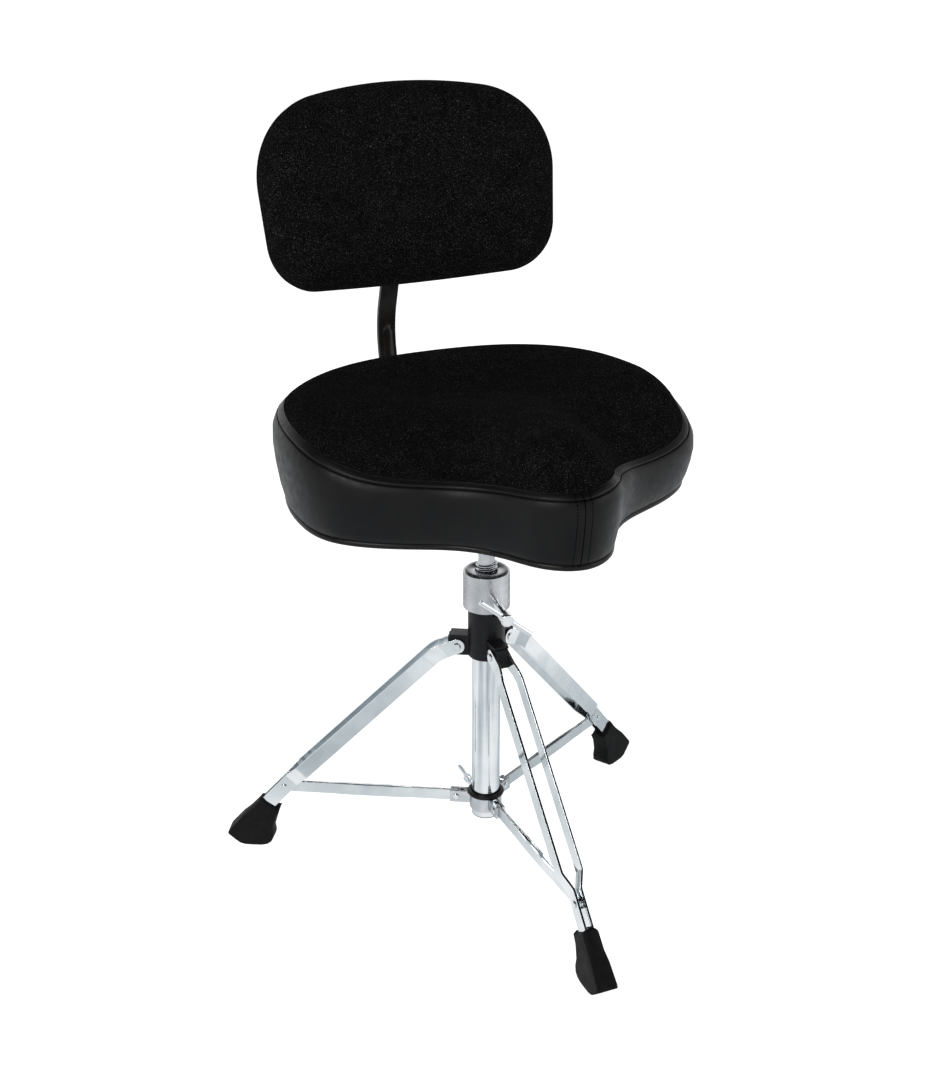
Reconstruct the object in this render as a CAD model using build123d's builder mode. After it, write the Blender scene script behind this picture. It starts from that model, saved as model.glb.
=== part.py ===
"""Drum throne: folding tripod base, threaded spindle, saddle seat and adjustable backrest.

Frame: millimetres, +Z up, origin on the floor on the column's axis.  The nose of the seat and the
front leg point to -Y.  An azimuth is measured from -Y towards +X, so the legs stand at 0, 120 and
-120 degrees.
"""

from build123d import *
from math import atan2, cos, degrees, hypot, radians, sin
import os

os.makedirs("parts", exist_ok=True)

# Column
TUBE_OD = 31.8
TUBE_WALL = 1.6
TUBE_BOTTOM = 58.0
PLUG_LENGTH = 12.0

# Hub on top of the column, with an ear for each leg
HUB_OD = 41.0
HUB_BOTTOM = 260.0
HUB_TOP = 317.5
HUB_WASHER = 1.0
HUB_CAP = 5.5
EAR_REACH = 42.0
EAR_HALF = 7.2
EAR_HEIGHT = 22.0
LIP_HALF = 8.5

# Legs: two flat straps each, pivoted on the hub and riveted together above the foot
LEGS = {"front": 0.0, "right": 120.0, "left": -120.0}
HUB_PIVOT = (32.0, 272.0)
LEG_BEND = (56.0, 261.5)
LEG_KNEE = (222.0, 91.5)
LOWER_RIVET = (235.3, 76.8)
STRAP_WIDTH = 17.5
STRAP_T = 2.5
STRAP_IN_FOOT = 55.0
FOOT_HORN = (260.8, 63.3)
FOOT_DIR = (0.446, -0.895)
POCKET_DEPTH = 41.0
POCKET_HALF = 2.95
TOP_OFFSET = 8.75
WIDE_OFFSET = 11.8
END_OFFSET = 4.2
PIN_CLEARANCE = 0.05
HUB_RIVET_R = 3.5
END_RIVET_R = 3.0
RIVET_HEAD_R = 4.5

# Struts: two thin straps each, from the sliding collar to the lower rivet
COLLAR_PIVOT = (33.6, 77.6)
STRUT_WIDTH = 13.0
STRUT_T = 2.0
STRUT_BOW = 1.0
STRUT_STRAIGHT = 50.0
STRUT_PIN_HALF = 2.7

# Sliding collar
COLLAR_OD = 37.0
COLLAR_BOTTOM = 65.0
COLLAR_TOP = 82.5
LUG_REACH = 41.0
LUG_HALF = 5.4
LUG_SLOT_HALF = 2.4
LUG_SLOT_START = 25.5
O_RING_SECTION_R = 2.5
COLLAR_PIN_R = 2.5
COLLAR_SCREW_AZIMUTH = 180.0
COLLAR_SCREW_Z = 74.0

# Knurled nut, its locking T-screw and the threaded spindle
NUT_OD = 52.0
NUT_BOTTOM = HUB_TOP + HUB_WASHER
NUT_TOP = 364.0
NUT_CHAMFER = 2.0
THREAD_OD = 24.0
THREAD_DEPTH = 1.6
THREAD_PITCH = 5.0
THREAD_TURNS = 38
THREAD_TOP = 374.0
NECK_D = 18.5
NECK_TOP = 448.0
T_SCREW_AZIMUTH = -9.5
T_SCREW_Z = 340.0
T_SCREW_R = 5.0
T_HEAD_AT = 80.0
T_HEAD_R = 7.0
T_BAR_R = 3.0
T_BAR_HALF = 36.0
T_BAR_TURN = 38.0

# Swivel under the seat
HOUSING_BOTTOM = 403.0
HOUSING_OD = 38.0
BEARING_OD = 30.0
BEARING_TOP = 441.0
PLATE_SIDE = 126.0
PLATE_T = 3.0
PLATE_BOLTS = 100.0

# Seat
BOARD_BOTTOM = 456.0
BOARD_T = 12.0
TRIM_BOTTOM = 454.5
TRIM_SECTION = 6.0
BOXING = {460.5: 0.0, 478.0: 8.0, 500.0: 11.0, 525.0: 9.0, 580.0: -2.0}
SEAT_RIDGE = [
    (-262, 520), (-228, 536), (-190, 560), (-120, 570), (0, 565), (140, 569), (170, 562), (205, 525),
]
SEAT_CROWN = [
    (-240, 500), (-212, 545), (-180, 569), (-110, 570), (0, 568),
    (110, 570), (180, 569), (212, 545), (240, 500),
]
SEAT_HALF = [
    (35, -212), (59, -175), (92, -138), (136, -114), (176, -90), (202, -62), (213, -15),
    (208, 45), (186, 105), (120, 163),
]
SEAT_TIP_Y = -229.0
SEAT_REAR_Y = 186.0

# Backrest: flat J-shaped bar, bracket under the seat, sleeve and pad
BAR_WIDTH = 22.0
BAR_T = 6.0
BAR_LOW_Z = 447.0
BAR_TOP = 795.0
BAR_BACK_Y = 272.0
BACK_CENTRE = (0.0, 222.0, 744.5)
BACK_LEAN = 12.0
BACK_WIDTH = 347.0
BACK_HEIGHT = 223.0
BACK_THICK = 50.0
BACK_RADIUS = 600.0
SLIDE_GAP = 0.15
KNOB_R = 17.0
STUD_R = 4.0


def upright(azimuth):
    """Vertical plane at an azimuth: x runs out from the column and y runs up."""
    out = Vector(sin(radians(azimuth)), -cos(radians(azimuth)), 0)
    return Plane(origin=(0, 0, 0), x_dir=out, z_dir=out.cross(Vector(0, 0, 1)))


def facing_out(azimuth, distance, height):
    """Plane square to an azimuth, whose normal points away from the column."""
    out = Vector(sin(radians(azimuth)), -cos(radians(azimuth)), 0)
    return Plane(origin=out * distance + Vector(0, 0, height), z_dir=out)


def slanted(azimuth, start, direction):
    """Plane whose x runs along a direction in the leg's upright plane, and y runs sideways."""
    base = upright(azimuth)
    down = base.x_dir * direction[0] + Vector(0, 0, 1) * direction[1]
    origin = base.from_local_coords(Vector(*start, 0))
    return Plane(origin=origin, x_dir=down, z_dir=down.cross(base.z_dir))


def seat_outline(grow):
    """Closed outline of the seat on the current sketch, moved outwards by grow."""
    left_side = [(-x, y) for x, y in reversed(SEAT_HALF)]
    points = [(0, SEAT_TIP_Y), *SEAT_HALF, (0, SEAT_REAR_Y), *left_side]
    grown = []
    for before, (x, y), after in zip(points[-1:] + points, points, points[1:] + points[:1]):
        along = (after[0] - before[0], after[1] - before[1])
        length = hypot(*along)
        grown.append((x + grow * along[1] / length, y - grow * along[0] / length))
    with BuildLine() as edge:
        Spline(*grown, periodic=True)
    make_face(edge.edges())


def unit(start, end):
    """Direction from one point of the leg's plane to another."""
    length = hypot(end[0] - start[0], end[1] - start[1])
    return ((end[0] - start[0]) / length, (end[1] - start[1]) / length)


LEG_DIR = unit(LEG_BEND, LEG_KNEE)
END_DIR = unit(LEG_KNEE, LOWER_RIVET)
RIVET_REACH = (
    (LOWER_RIVET[0] - HUB_PIVOT[0]) * LEG_DIR[0] + (LOWER_RIVET[1] - HUB_PIVOT[1]) * LEG_DIR[1]
)
STRAP_END = (
    LOWER_RIVET[0] + STRAP_IN_FOOT * END_DIR[0],
    LOWER_RIVET[1] + STRAP_IN_FOOT * END_DIR[1],
)

# ---------------------------------------------------------------- column

with BuildPart() as column_tube:
    with BuildSketch(Plane.XY.offset(TUBE_BOTTOM)):
        Circle(TUBE_OD / 2)
        Circle(TUBE_OD / 2 - TUBE_WALL, mode=Mode.SUBTRACT)
    extrude(amount=HUB_TOP - HUB_CAP - TUBE_BOTTOM)
column_tube.part.label = "column_tube"
export_step(column_tube.part, "parts/column_tube.step")

with BuildPart() as tube_end_plug:
    with BuildSketch(Plane.XY.offset(TUBE_BOTTOM)):
        Circle(TUBE_OD / 2 - TUBE_WALL)
    extrude(amount=PLUG_LENGTH)
    with BuildSketch(Plane.XY.offset(TUBE_BOTTOM)):
        Circle(TUBE_OD / 2)
    extrude(amount=-1.5)
    chamfer(tube_end_plug.edges().sort_by(Axis.Z)[0], length=0.8)
tube_end_plug.part.label = "tube_end_plug"
export_step(tube_end_plug.part, "parts/tube_end_plug.step")

# ---------------------------------------------------------------- hub

with BuildPart() as leg_hub:
    with BuildSketch(Plane.XY.offset(HUB_BOTTOM)):
        Circle(HUB_OD / 2)
    extrude(amount=HUB_TOP - HUB_BOTTOM)
    chamfer(leg_hub.edges().sort_by(Axis.Z)[0], length=1.0)
    for azimuth in LEGS.values():
        with BuildSketch(upright(azimuth)):
            with Locations(((EAR_REACH + 10) / 2, HUB_PIVOT[1])):
                Rectangle(EAR_REACH - 10, EAR_HEIGHT)
        extrude(amount=EAR_HALF, both=True)
        with BuildSketch(upright(azimuth)):
            with Locations(((EAR_REACH + 8) / 2, HUB_PIVOT[1] + EAR_HEIGHT / 2 + 1.5)):
                Rectangle(EAR_REACH - 12, 3)
        extrude(amount=LIP_HALF, both=True)
        with BuildSketch(upright(azimuth)):
            with Locations(HUB_PIVOT):
                Circle(HUB_RIVET_R)
        extrude(amount=EAR_HALF + 1, both=True, mode=Mode.SUBTRACT)
    with BuildSketch(Plane.XY.offset(HUB_BOTTOM)):
        Circle(TUBE_OD / 2)
    extrude(amount=HUB_TOP - HUB_CAP - HUB_BOTTOM, mode=Mode.SUBTRACT)
    with BuildSketch(Plane.XY.offset(HUB_TOP)):
        Circle(THREAD_OD / 2 + 1)
    extrude(amount=-HUB_CAP, mode=Mode.SUBTRACT)
    with BuildSketch(Plane.XY.offset(HUB_TOP)):
        with PolarLocations(HUB_OD / 2, 3, start_angle=30):
            Rectangle(5, 4)
    extrude(amount=-3, mode=Mode.SUBTRACT)
leg_hub.part.label = "leg_hub"
export_step(leg_hub.part, "parts/leg_hub.step")

with BuildPart() as hub_washer:
    with BuildSketch(Plane.XY.offset(HUB_TOP)):
        Circle(HUB_OD / 2 - 1)
        Circle(THREAD_OD / 2 + 1, mode=Mode.SUBTRACT)
    extrude(amount=HUB_WASHER)
hub_washer.part.label = "hub_washer"
export_step(hub_washer.part, "parts/hub_washer.step")

HUB_HEAD_INNER = TOP_OFFSET + STRAP_T / 2 + 0.1
HUB_HEAD_OUTER = HUB_HEAD_INNER + 1.6
with BuildPart() as hub_rivets:
    for azimuth in LEGS.values():
        with BuildSketch(upright(azimuth)):
            with Locations(HUB_PIVOT):
                Circle(RIVET_HEAD_R)
        extrude(amount=HUB_HEAD_OUTER, both=True)
    rims = hub_rivets.edges().filter_by(GeomType.CIRCLE)
    chamfer(rims, length=0.9)
    for azimuth in LEGS.values():
        with BuildSketch(upright(azimuth)):
            with Locations(HUB_PIVOT):
                Circle(RIVET_HEAD_R + 1)
                Circle(HUB_RIVET_R, mode=Mode.SUBTRACT)
        extrude(amount=HUB_HEAD_INNER, both=True, mode=Mode.SUBTRACT)
hub_rivets.part.label = "hub_rivets"
export_step(hub_rivets.part, "parts/hub_rivets.step")

# ---------------------------------------------------------------- legs

for name, azimuth in LEGS.items():
    straps = {}
    for letter, side in (("a", -1), ("b", 1)):
        with BuildPart() as leg_strap:
            with BuildSketch(upright(azimuth)):
                with BuildLine():
                    FilletPolyline(HUB_PIVOT, LEG_BEND, LEG_KNEE, STRAP_END, radius=30)
                trace(line_width=STRAP_WIDTH)
                with Locations(HUB_PIVOT):
                    Circle(STRAP_WIDTH / 2)
            extrude(amount=WIDE_OFFSET + STRAP_T, both=True)
            with BuildSketch(slanted(azimuth, HUB_PIVOT, LEG_DIR)):
                with BuildLine():
                    FilletPolyline(
                        (-STRAP_WIDTH, side * TOP_OFFSET),
                        (15, side * TOP_OFFSET),
                        (35, side * WIDE_OFFSET),
                        (RIVET_REACH - 33, side * WIDE_OFFSET),
                        (RIVET_REACH - 14, side * END_OFFSET),
                        (RIVET_REACH + STRAP_IN_FOOT + 9, side * END_OFFSET),
                        radius=8,
                    )
                trace(line_width=STRAP_T)
            extrude(amount=60, both=True, mode=Mode.INTERSECT)
            with BuildSketch(upright(azimuth)):
                with Locations(HUB_PIVOT):
                    Circle(HUB_RIVET_R + PIN_CLEARANCE)
                with Locations(LOWER_RIVET):
                    Circle(END_RIVET_R)
            extrude(amount=30, both=True, mode=Mode.SUBTRACT)
        straps[letter] = leg_strap.part
        leg_strap.part.label = f"{name}_leg_strap_{letter}"
        export_step(leg_strap.part, f"parts/{name}_leg_strap_{letter}.step")

    # Blind heads of the lower rivet, one on each strap, with a stub through the strap
    inner = END_OFFSET - STRAP_T / 2
    outer = END_OFFSET + STRAP_T / 2
    with BuildPart() as leg_rivet:
        with BuildSketch(upright(azimuth)):
            with Locations(LOWER_RIVET):
                Circle(RIVET_HEAD_R)
        extrude(amount=outer + 1.4, both=True)
        rims = leg_rivet.edges().filter_by(GeomType.CIRCLE)
        chamfer(rims, length=0.8)
        with BuildSketch(upright(azimuth)):
            with Locations(LOWER_RIVET):
                Circle(RIVET_HEAD_R + 1)
                Circle(END_RIVET_R, mode=Mode.SUBTRACT)
        extrude(amount=outer, both=True, mode=Mode.SUBTRACT)
        with BuildSketch(upright(azimuth)):
            with Locations(LOWER_RIVET):
                Circle(RIVET_HEAD_R + 1)
        extrude(amount=inner, both=True, mode=Mode.SUBTRACT)
    leg_rivet.part.label = f"{name}_leg_rivet"
    export_step(leg_rivet.part, f"parts/{name}_leg_rivet.step")

    # Rubber foot: side outline, cut to a tapered width and to a bevelled section
    with BuildPart() as foot:
        with BuildSketch(upright(azimuth)):
            with BuildLine():
                Polyline((249.5, 22), (240.5, 52), (243.5, 49.5), (257.5, 58.5), FOOT_HORN)
                Polyline(FOOT_HORN, (264, 62.3), (266, 59), (287, 35.5), (301, 19.5))
                ThreePointArc((301, 19.5), (303.3, 16.5), (304.2, 13.5))
                Line((304.2, 13.5), (296, 6.5))
                ThreePointArc((296, 6.5), (290.5, 2), (284, 0))
                Line((284, 0), (264, 0))
                ThreePointArc((264, 0), (253.5, 3.8), (248, 13))
                Line((248, 13), (249.5, 22))
            make_face()
        extrude(amount=15, both=True)
        with BuildSketch(slanted(azimuth, FOOT_HORN, FOOT_DIR)):
            with BuildLine():
                Polyline(
                    (-2, -3.5), (5, -8.6), (15, -9.4), (15, -8.8), (80, -12.4),
                    (80, 12.4), (15, 8.8), (15, 9.4), (5, 8.6), (-2, 3.5), close=True,
                )
            make_face()
        extrude(amount=60, both=True, mode=Mode.INTERSECT)
        with BuildSketch(slanted(azimuth, HUB_PIVOT, LEG_DIR)):
            with Locations((RIVET_REACH + POCKET_DEPTH / 2, 0)):
                Rectangle(POCKET_DEPTH, 2 * POCKET_HALF)
        extrude(amount=60, both=True, mode=Mode.SUBTRACT)
        for strap in straps.values():
            add(strap, mode=Mode.SUBTRACT)
    foot.part.label = f"{name}_foot"
    export_step(foot.part, f"parts/{name}_foot.step")

# ---------------------------------------------------------------- struts

STRUT_DIR = (LOWER_RIVET[0] - COLLAR_PIVOT[0], LOWER_RIVET[1] - COLLAR_PIVOT[1])
STRUT_LENGTH = hypot(*STRUT_DIR)
strut_slope = degrees(atan2(STRUT_DIR[1], STRUT_DIR[0]))
strut_middle = (
    (COLLAR_PIVOT[0] + LOWER_RIVET[0]) / 2,
    (COLLAR_PIVOT[1] + LOWER_RIVET[1]) / 2,
)
for name, azimuth in LEGS.items():
    for letter, side in (("a", -1), ("b", 1)):
        with BuildPart() as strut_strap:
            with BuildSketch(upright(azimuth)):
                with Locations(Location((*strut_middle, 0), (0, 0, strut_slope))):
                    SlotCenterToCenter(STRUT_LENGTH, STRUT_WIDTH)
            extrude(amount=10, both=True)
            flat = Plane(
                origin=upright(azimuth).from_local_coords(Vector(*COLLAR_PIVOT, 0)),
                x_dir=upright(azimuth).x_dir,
                z_dir=upright(azimuth).x_dir.cross(upright(azimuth).z_dir),
            )
            with BuildSketch(flat):
                with BuildLine():
                    FilletPolyline(
                        (-STRUT_WIDTH, side * STRUT_T / 2),
                        (STRUT_STRAIGHT, side * STRUT_T / 2),
                        (STRUT_STRAIGHT + 25, side * (STRUT_T / 2 + STRUT_BOW)),
                        (STRUT_LENGTH - STRUT_STRAIGHT - 25, side * (STRUT_T / 2 + STRUT_BOW)),
                        (STRUT_LENGTH - STRUT_STRAIGHT, side * STRUT_T / 2),
                        (STRUT_LENGTH + STRUT_WIDTH, side * STRUT_T / 2),
                        radius=25,
                    )
                trace(line_width=STRUT_T)
            extrude(amount=STRUT_WIDTH, both=True, mode=Mode.INTERSECT)
            with BuildSketch(upright(azimuth)):
                with Locations(COLLAR_PIVOT):
                    Circle(COLLAR_PIN_R + PIN_CLEARANCE)
                with Locations(LOWER_RIVET):
                    Circle(END_RIVET_R)
            extrude(amount=10, both=True, mode=Mode.SUBTRACT)
        strut_strap.part.label = f"{name}_strut_strap_{letter}"
        export_step(strut_strap.part, f"parts/{name}_strut_strap_{letter}.step")

    # Spacer of the lower rivet between the leg straps, with a shoulder on each side of the strut
    with BuildPart() as strut_pin:
        with BuildSketch(upright(azimuth)):
            with Locations(LOWER_RIVET):
                Circle(RIVET_HEAD_R)
        extrude(amount=STRUT_PIN_HALF, both=True)
        with BuildSketch(upright(azimuth)):
            with Locations(LOWER_RIVET):
                Circle(RIVET_HEAD_R + 1)
                Circle(END_RIVET_R, mode=Mode.SUBTRACT)
        extrude(amount=STRUT_T, both=True, mode=Mode.SUBTRACT)
    strut_pin.part.label = f"{name}_strut_pin"
    export_step(strut_pin.part, f"parts/{name}_strut_pin.step")

# ---------------------------------------------------------------- sliding collar

BOSS_R = 6.0
BOSS_REACH = 25.0
COLLAR_SCREW_R = 3.0
LUG_HEIGHT = 14.0

with BuildPart() as slide_collar:
    with BuildSketch(Plane.XY.offset(COLLAR_BOTTOM)):
        Circle(COLLAR_OD / 2)
    extrude(amount=COLLAR_TOP - COLLAR_BOTTOM)
    chamfer(slide_collar.edges().sort_by(Axis.Z)[0], length=1.2)
    for azimuth in LEGS.values():
        with BuildSketch(upright(azimuth)):
            with Locations(((LUG_REACH + 10) / 2, COLLAR_PIVOT[1])):
                Rectangle(LUG_REACH - 10, LUG_HEIGHT)
        extrude(amount=LUG_HALF, both=True)
        with BuildSketch(upright(azimuth)):
            with Locations(((LUG_REACH + LUG_SLOT_START) / 2, COLLAR_PIVOT[1])):
                Rectangle(LUG_REACH - LUG_SLOT_START, LUG_HEIGHT + 2)
        extrude(amount=LUG_SLOT_HALF, both=True, mode=Mode.SUBTRACT)
        with BuildSketch(upright(azimuth)):
            with Locations(COLLAR_PIVOT):
                Circle(COLLAR_PIN_R)
        extrude(amount=LUG_HALF + 1, both=True, mode=Mode.SUBTRACT)
    with BuildSketch(facing_out(COLLAR_SCREW_AZIMUTH, 10, COLLAR_SCREW_Z)):
        Circle(BOSS_R)
    extrude(amount=BOSS_REACH - 10)
    with BuildSketch(Plane.XY.offset(COLLAR_TOP)):
        Circle(COLLAR_OD / 2 + 2.9)
    extrude(amount=10, mode=Mode.SUBTRACT)
    with BuildSketch(Plane.XY.offset(COLLAR_BOTTOM - 1)):
        Circle(TUBE_OD / 2 + PIN_CLEARANCE)
    extrude(amount=COLLAR_TOP - COLLAR_BOTTOM + 2, mode=Mode.SUBTRACT)
    with BuildSketch(facing_out(COLLAR_SCREW_AZIMUTH, 10, COLLAR_SCREW_Z)):
        Circle(COLLAR_SCREW_R + PIN_CLEARANCE)
    extrude(amount=BOSS_REACH, mode=Mode.SUBTRACT)
slide_collar.part.label = "slide_collar"
export_step(slide_collar.part, "parts/slide_collar.step")

with BuildPart() as collar_o_ring:
    with BuildSketch(Plane.XZ):
        with Locations((TUBE_OD / 2 + 0.1 + O_RING_SECTION_R, COLLAR_TOP + O_RING_SECTION_R)):
            Circle(O_RING_SECTION_R)
    revolve(axis=Axis.Z)
collar_o_ring.part.label = "collar_o_ring"
export_step(collar_o_ring.part, "parts/collar_o_ring.step")

with BuildPart() as collar_rivets:
    for azimuth in LEGS.values():
        with BuildSketch(upright(azimuth)):
            with Locations(COLLAR_PIVOT):
                Circle(COLLAR_PIN_R + 1.2)
        extrude(amount=LUG_HALF + 1.5, both=True)
    rims = collar_rivets.edges().filter_by(GeomType.CIRCLE)
    chamfer(rims, length=0.8)
    for azimuth in LEGS.values():
        with BuildSketch(upright(azimuth)):
            with Locations(COLLAR_PIVOT):
                Circle(COLLAR_PIN_R + 2)
                Circle(COLLAR_PIN_R, mode=Mode.SUBTRACT)
        extrude(amount=LUG_HALF, both=True, mode=Mode.SUBTRACT)
collar_rivets.part.label = "collar_rivets"
export_step(collar_rivets.part, "parts/collar_rivets.step")

COLLAR_HEAD_AT = 48.0
COLLAR_HEAD_R = 5.0
COLLAR_BAR_R = 2.2
COLLAR_BAR_HALF = 24.0
COLLAR_BAR_TURN = 30.0

with BuildPart() as collar_screw:
    with BuildSketch(facing_out(COLLAR_SCREW_AZIMUTH, TUBE_OD / 2 + 0.4, COLLAR_SCREW_Z)):
        Circle(COLLAR_SCREW_R)
    extrude(amount=COLLAR_HEAD_AT - TUBE_OD / 2)
    with BuildSketch(facing_out(COLLAR_SCREW_AZIMUTH, COLLAR_HEAD_AT - 6, COLLAR_SCREW_Z)):
        Circle(COLLAR_HEAD_R)
    extrude(amount=12)
    rims = collar_screw.edges().filter_by(GeomType.CIRCLE).group_by(Axis.Y)[-1]
    fillet(rims, radius=2)
    bar_axis = Vector(sin(radians(COLLAR_BAR_TURN)), 0, -cos(radians(COLLAR_BAR_TURN)))
    bar_start = Vector(0, COLLAR_HEAD_AT, COLLAR_SCREW_Z) - bar_axis * COLLAR_BAR_HALF
    with BuildSketch(Plane(origin=bar_start, z_dir=bar_axis)):
        Circle(COLLAR_BAR_R)
    extrude(amount=2 * COLLAR_BAR_HALF, mode=Mode.SUBTRACT)
collar_screw.part.label = "collar_screw"
export_step(collar_screw.part, "parts/collar_screw.step")

with BuildPart() as collar_screw_bar:
    with BuildSketch(Plane(origin=bar_start, z_dir=bar_axis)):
        Circle(COLLAR_BAR_R)
    extrude(amount=2 * COLLAR_BAR_HALF)
    fillet(collar_screw_bar.edges().filter_by(GeomType.CIRCLE), radius=1)
collar_screw_bar.part.label = "collar_screw_bar"
export_step(collar_screw_bar.part, "parts/collar_screw_bar.step")

# ---------------------------------------------------------------- knurled nut and T-screw

with BuildPart() as knurled_nut:
    with BuildSketch(Plane.XY.offset(NUT_BOTTOM)):
        Circle(NUT_OD / 2)
    extrude(amount=NUT_TOP - NUT_BOTTOM)
    chamfer(knurled_nut.edges().filter_by(GeomType.CIRCLE), length=NUT_CHAMFER)
    with BuildSketch(Plane.XY.offset(NUT_BOTTOM)):
        Circle(THREAD_OD / 2 + PIN_CLEARANCE)
    extrude(amount=NUT_TOP - NUT_BOTTOM, mode=Mode.SUBTRACT)
    with BuildSketch(facing_out(T_SCREW_AZIMUTH, 5, T_SCREW_Z)):
        Circle(T_SCREW_R + PIN_CLEARANCE)
    extrude(amount=NUT_OD / 2, mode=Mode.SUBTRACT)
knurled_nut.part.label = "knurled_nut"
export_step(knurled_nut.part, "parts/knurled_nut.step")

with BuildPart() as clamp_pad:
    with BuildSketch(facing_out(T_SCREW_AZIMUTH, THREAD_OD / 2 + 0.4, T_SCREW_Z)):
        Circle(T_SCREW_R - 0.3)
    extrude(amount=3)
clamp_pad.part.label = "clamp_pad"
export_step(clamp_pad.part, "parts/clamp_pad.step")

t_bar_azimuth = radians(T_SCREW_AZIMUTH)
t_side = Vector(cos(t_bar_azimuth), sin(t_bar_azimuth), 0)
t_bar_axis = t_side * cos(radians(T_BAR_TURN)) - Vector(0, 0, 1) * sin(radians(T_BAR_TURN))
t_head = Vector(sin(t_bar_azimuth), -cos(t_bar_azimuth), 0) * T_HEAD_AT + Vector(0, 0, T_SCREW_Z)
t_bar_plane = Plane(origin=t_head - t_bar_axis * T_BAR_HALF, z_dir=t_bar_axis)

with BuildPart() as t_screw:
    with BuildSketch(facing_out(T_SCREW_AZIMUTH, THREAD_OD / 2 + 3.8, T_SCREW_Z)):
        Circle(T_SCREW_R)
    extrude(amount=T_HEAD_AT - THREAD_OD / 2 - 3.8)
    with BuildSketch(facing_out(T_SCREW_AZIMUTH, T_HEAD_AT - 7, T_SCREW_Z)):
        Circle(T_HEAD_R)
    extrude(amount=14)
    rims = t_screw.edges().filter_by(GeomType.CIRCLE).group_by(Axis.Y)[0]
    fillet(rims, radius=1.5)
    with BuildSketch(t_bar_plane):
        Circle(T_BAR_R)
    extrude(amount=2 * T_BAR_HALF, mode=Mode.SUBTRACT)
t_screw.part.label = "t_screw"
export_step(t_screw.part, "parts/t_screw.step")

with BuildPart() as t_bar:
    with BuildSketch(t_bar_plane):
        Circle(T_BAR_R)
    extrude(amount=2 * T_BAR_HALF)
    fillet(t_bar.edges().filter_by(GeomType.CIRCLE), radius=1)
t_bar.part.label = "t_bar"
export_step(t_bar.part, "parts/t_bar.step")

# ---------------------------------------------------------------- spindle and swivel

crest = THREAD_OD / 2
root = crest - THREAD_DEPTH
thread_bottom = THREAD_TOP - THREAD_TURNS * THREAD_PITCH
thread_profile = [(0, thread_bottom), (root, thread_bottom)]
for turn in range(THREAD_TURNS):
    z = thread_bottom + turn * THREAD_PITCH
    thread_profile += [
        (crest, z + THREAD_PITCH * 0.3),
        (crest, z + THREAD_PITCH * 0.7),
        (root, z + THREAD_PITCH),
    ]
thread_profile += [(NECK_D / 2, THREAD_TOP + 1), (NECK_D / 2, NECK_TOP), (0, NECK_TOP)]

with BuildPart() as spindle:
    with BuildSketch(Plane.XZ):
        with BuildLine():
            Polyline(*thread_profile, close=True)
        make_face()
    revolve(axis=Axis.Z)
spindle.part.label = "spindle"
export_step(spindle.part, "parts/spindle.step")

with BuildPart() as spindle_guide:
    with BuildSketch(Plane.XY.offset(thread_bottom)):
        Circle(TUBE_OD / 2 - TUBE_WALL - PIN_CLEARANCE)
    extrude(amount=-10)
spindle_guide.part.label = "spindle_guide"
export_step(spindle_guide.part, "parts/spindle_guide.step")

with BuildPart() as thrust_ring:
    with BuildSketch(Plane.XY.offset(HOUSING_BOTTOM - 5)):
        Circle(HOUSING_OD / 2 - 3)
        Circle(NECK_D / 2, mode=Mode.SUBTRACT)
    extrude(amount=4.9)
thrust_ring.part.label = "thrust_ring"
export_step(thrust_ring.part, "parts/thrust_ring.step")

with BuildPart() as retaining_ring:
    with BuildSketch(Plane.XY.offset(BEARING_TOP + 0.2)):
        Circle(NECK_D / 2 + 3.5)
        Circle(NECK_D / 2, mode=Mode.SUBTRACT)
    extrude(amount=1.5)
retaining_ring.part.label = "retaining_ring"
export_step(retaining_ring.part, "parts/retaining_ring.step")

with BuildPart() as swivel_bearing:
    with BuildSketch(Plane.XY.offset(HOUSING_BOTTOM)):
        Circle(BEARING_OD / 2)
        Circle(NECK_D / 2 + PIN_CLEARANCE, mode=Mode.SUBTRACT)
    extrude(amount=BEARING_TOP - HOUSING_BOTTOM)
swivel_bearing.part.label = "swivel_bearing"
export_step(swivel_bearing.part, "parts/swivel_bearing.step")

with BuildPart() as swivel_housing:
    with BuildSketch(Plane.XY.offset(HOUSING_BOTTOM)):
        Circle(HOUSING_OD / 2)
        Circle(BEARING_OD / 2, mode=Mode.SUBTRACT)
    extrude(amount=BOARD_BOTTOM - PLATE_T - HOUSING_BOTTOM)
    chamfer(swivel_housing.edges().group_by(Axis.Z)[0].sort_by(SortBy.RADIUS)[-1], length=1)
swivel_housing.part.label = "swivel_housing"
export_step(swivel_housing.part, "parts/swivel_housing.step")

with BuildPart() as seat_plate:
    with BuildSketch(Plane.XY.offset(BOARD_BOTTOM - PLATE_T)):
        RectangleRounded(PLATE_SIDE, PLATE_SIDE, 12)
        with GridLocations(PLATE_BOLTS, PLATE_BOLTS, 2, 2):
            Circle(3.2, mode=Mode.SUBTRACT)
    extrude(amount=PLATE_T)
seat_plate.part.label = "seat_plate"
export_step(seat_plate.part, "parts/seat_plate.step")

with BuildPart() as seat_plate_bolts:
    with BuildSketch(Plane.XY.offset(BOARD_BOTTOM - PLATE_T - 4)):
        with GridLocations(PLATE_BOLTS, PLATE_BOLTS, 2, 2):
            RegularPolygon(5.8, 6)
    extrude(amount=4)
    with BuildSketch(Plane.XY.offset(BOARD_BOTTOM - PLATE_T)):
        with GridLocations(PLATE_BOLTS, PLATE_BOLTS, 2, 2):
            Circle(3.2)
    extrude(amount=PLATE_T + 9)
seat_plate_bolts.part.label = "seat_plate_bolts"
export_step(seat_plate_bolts.part, "parts/seat_plate_bolts.step")

# ---------------------------------------------------------------- bracket of the backrest bar

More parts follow.
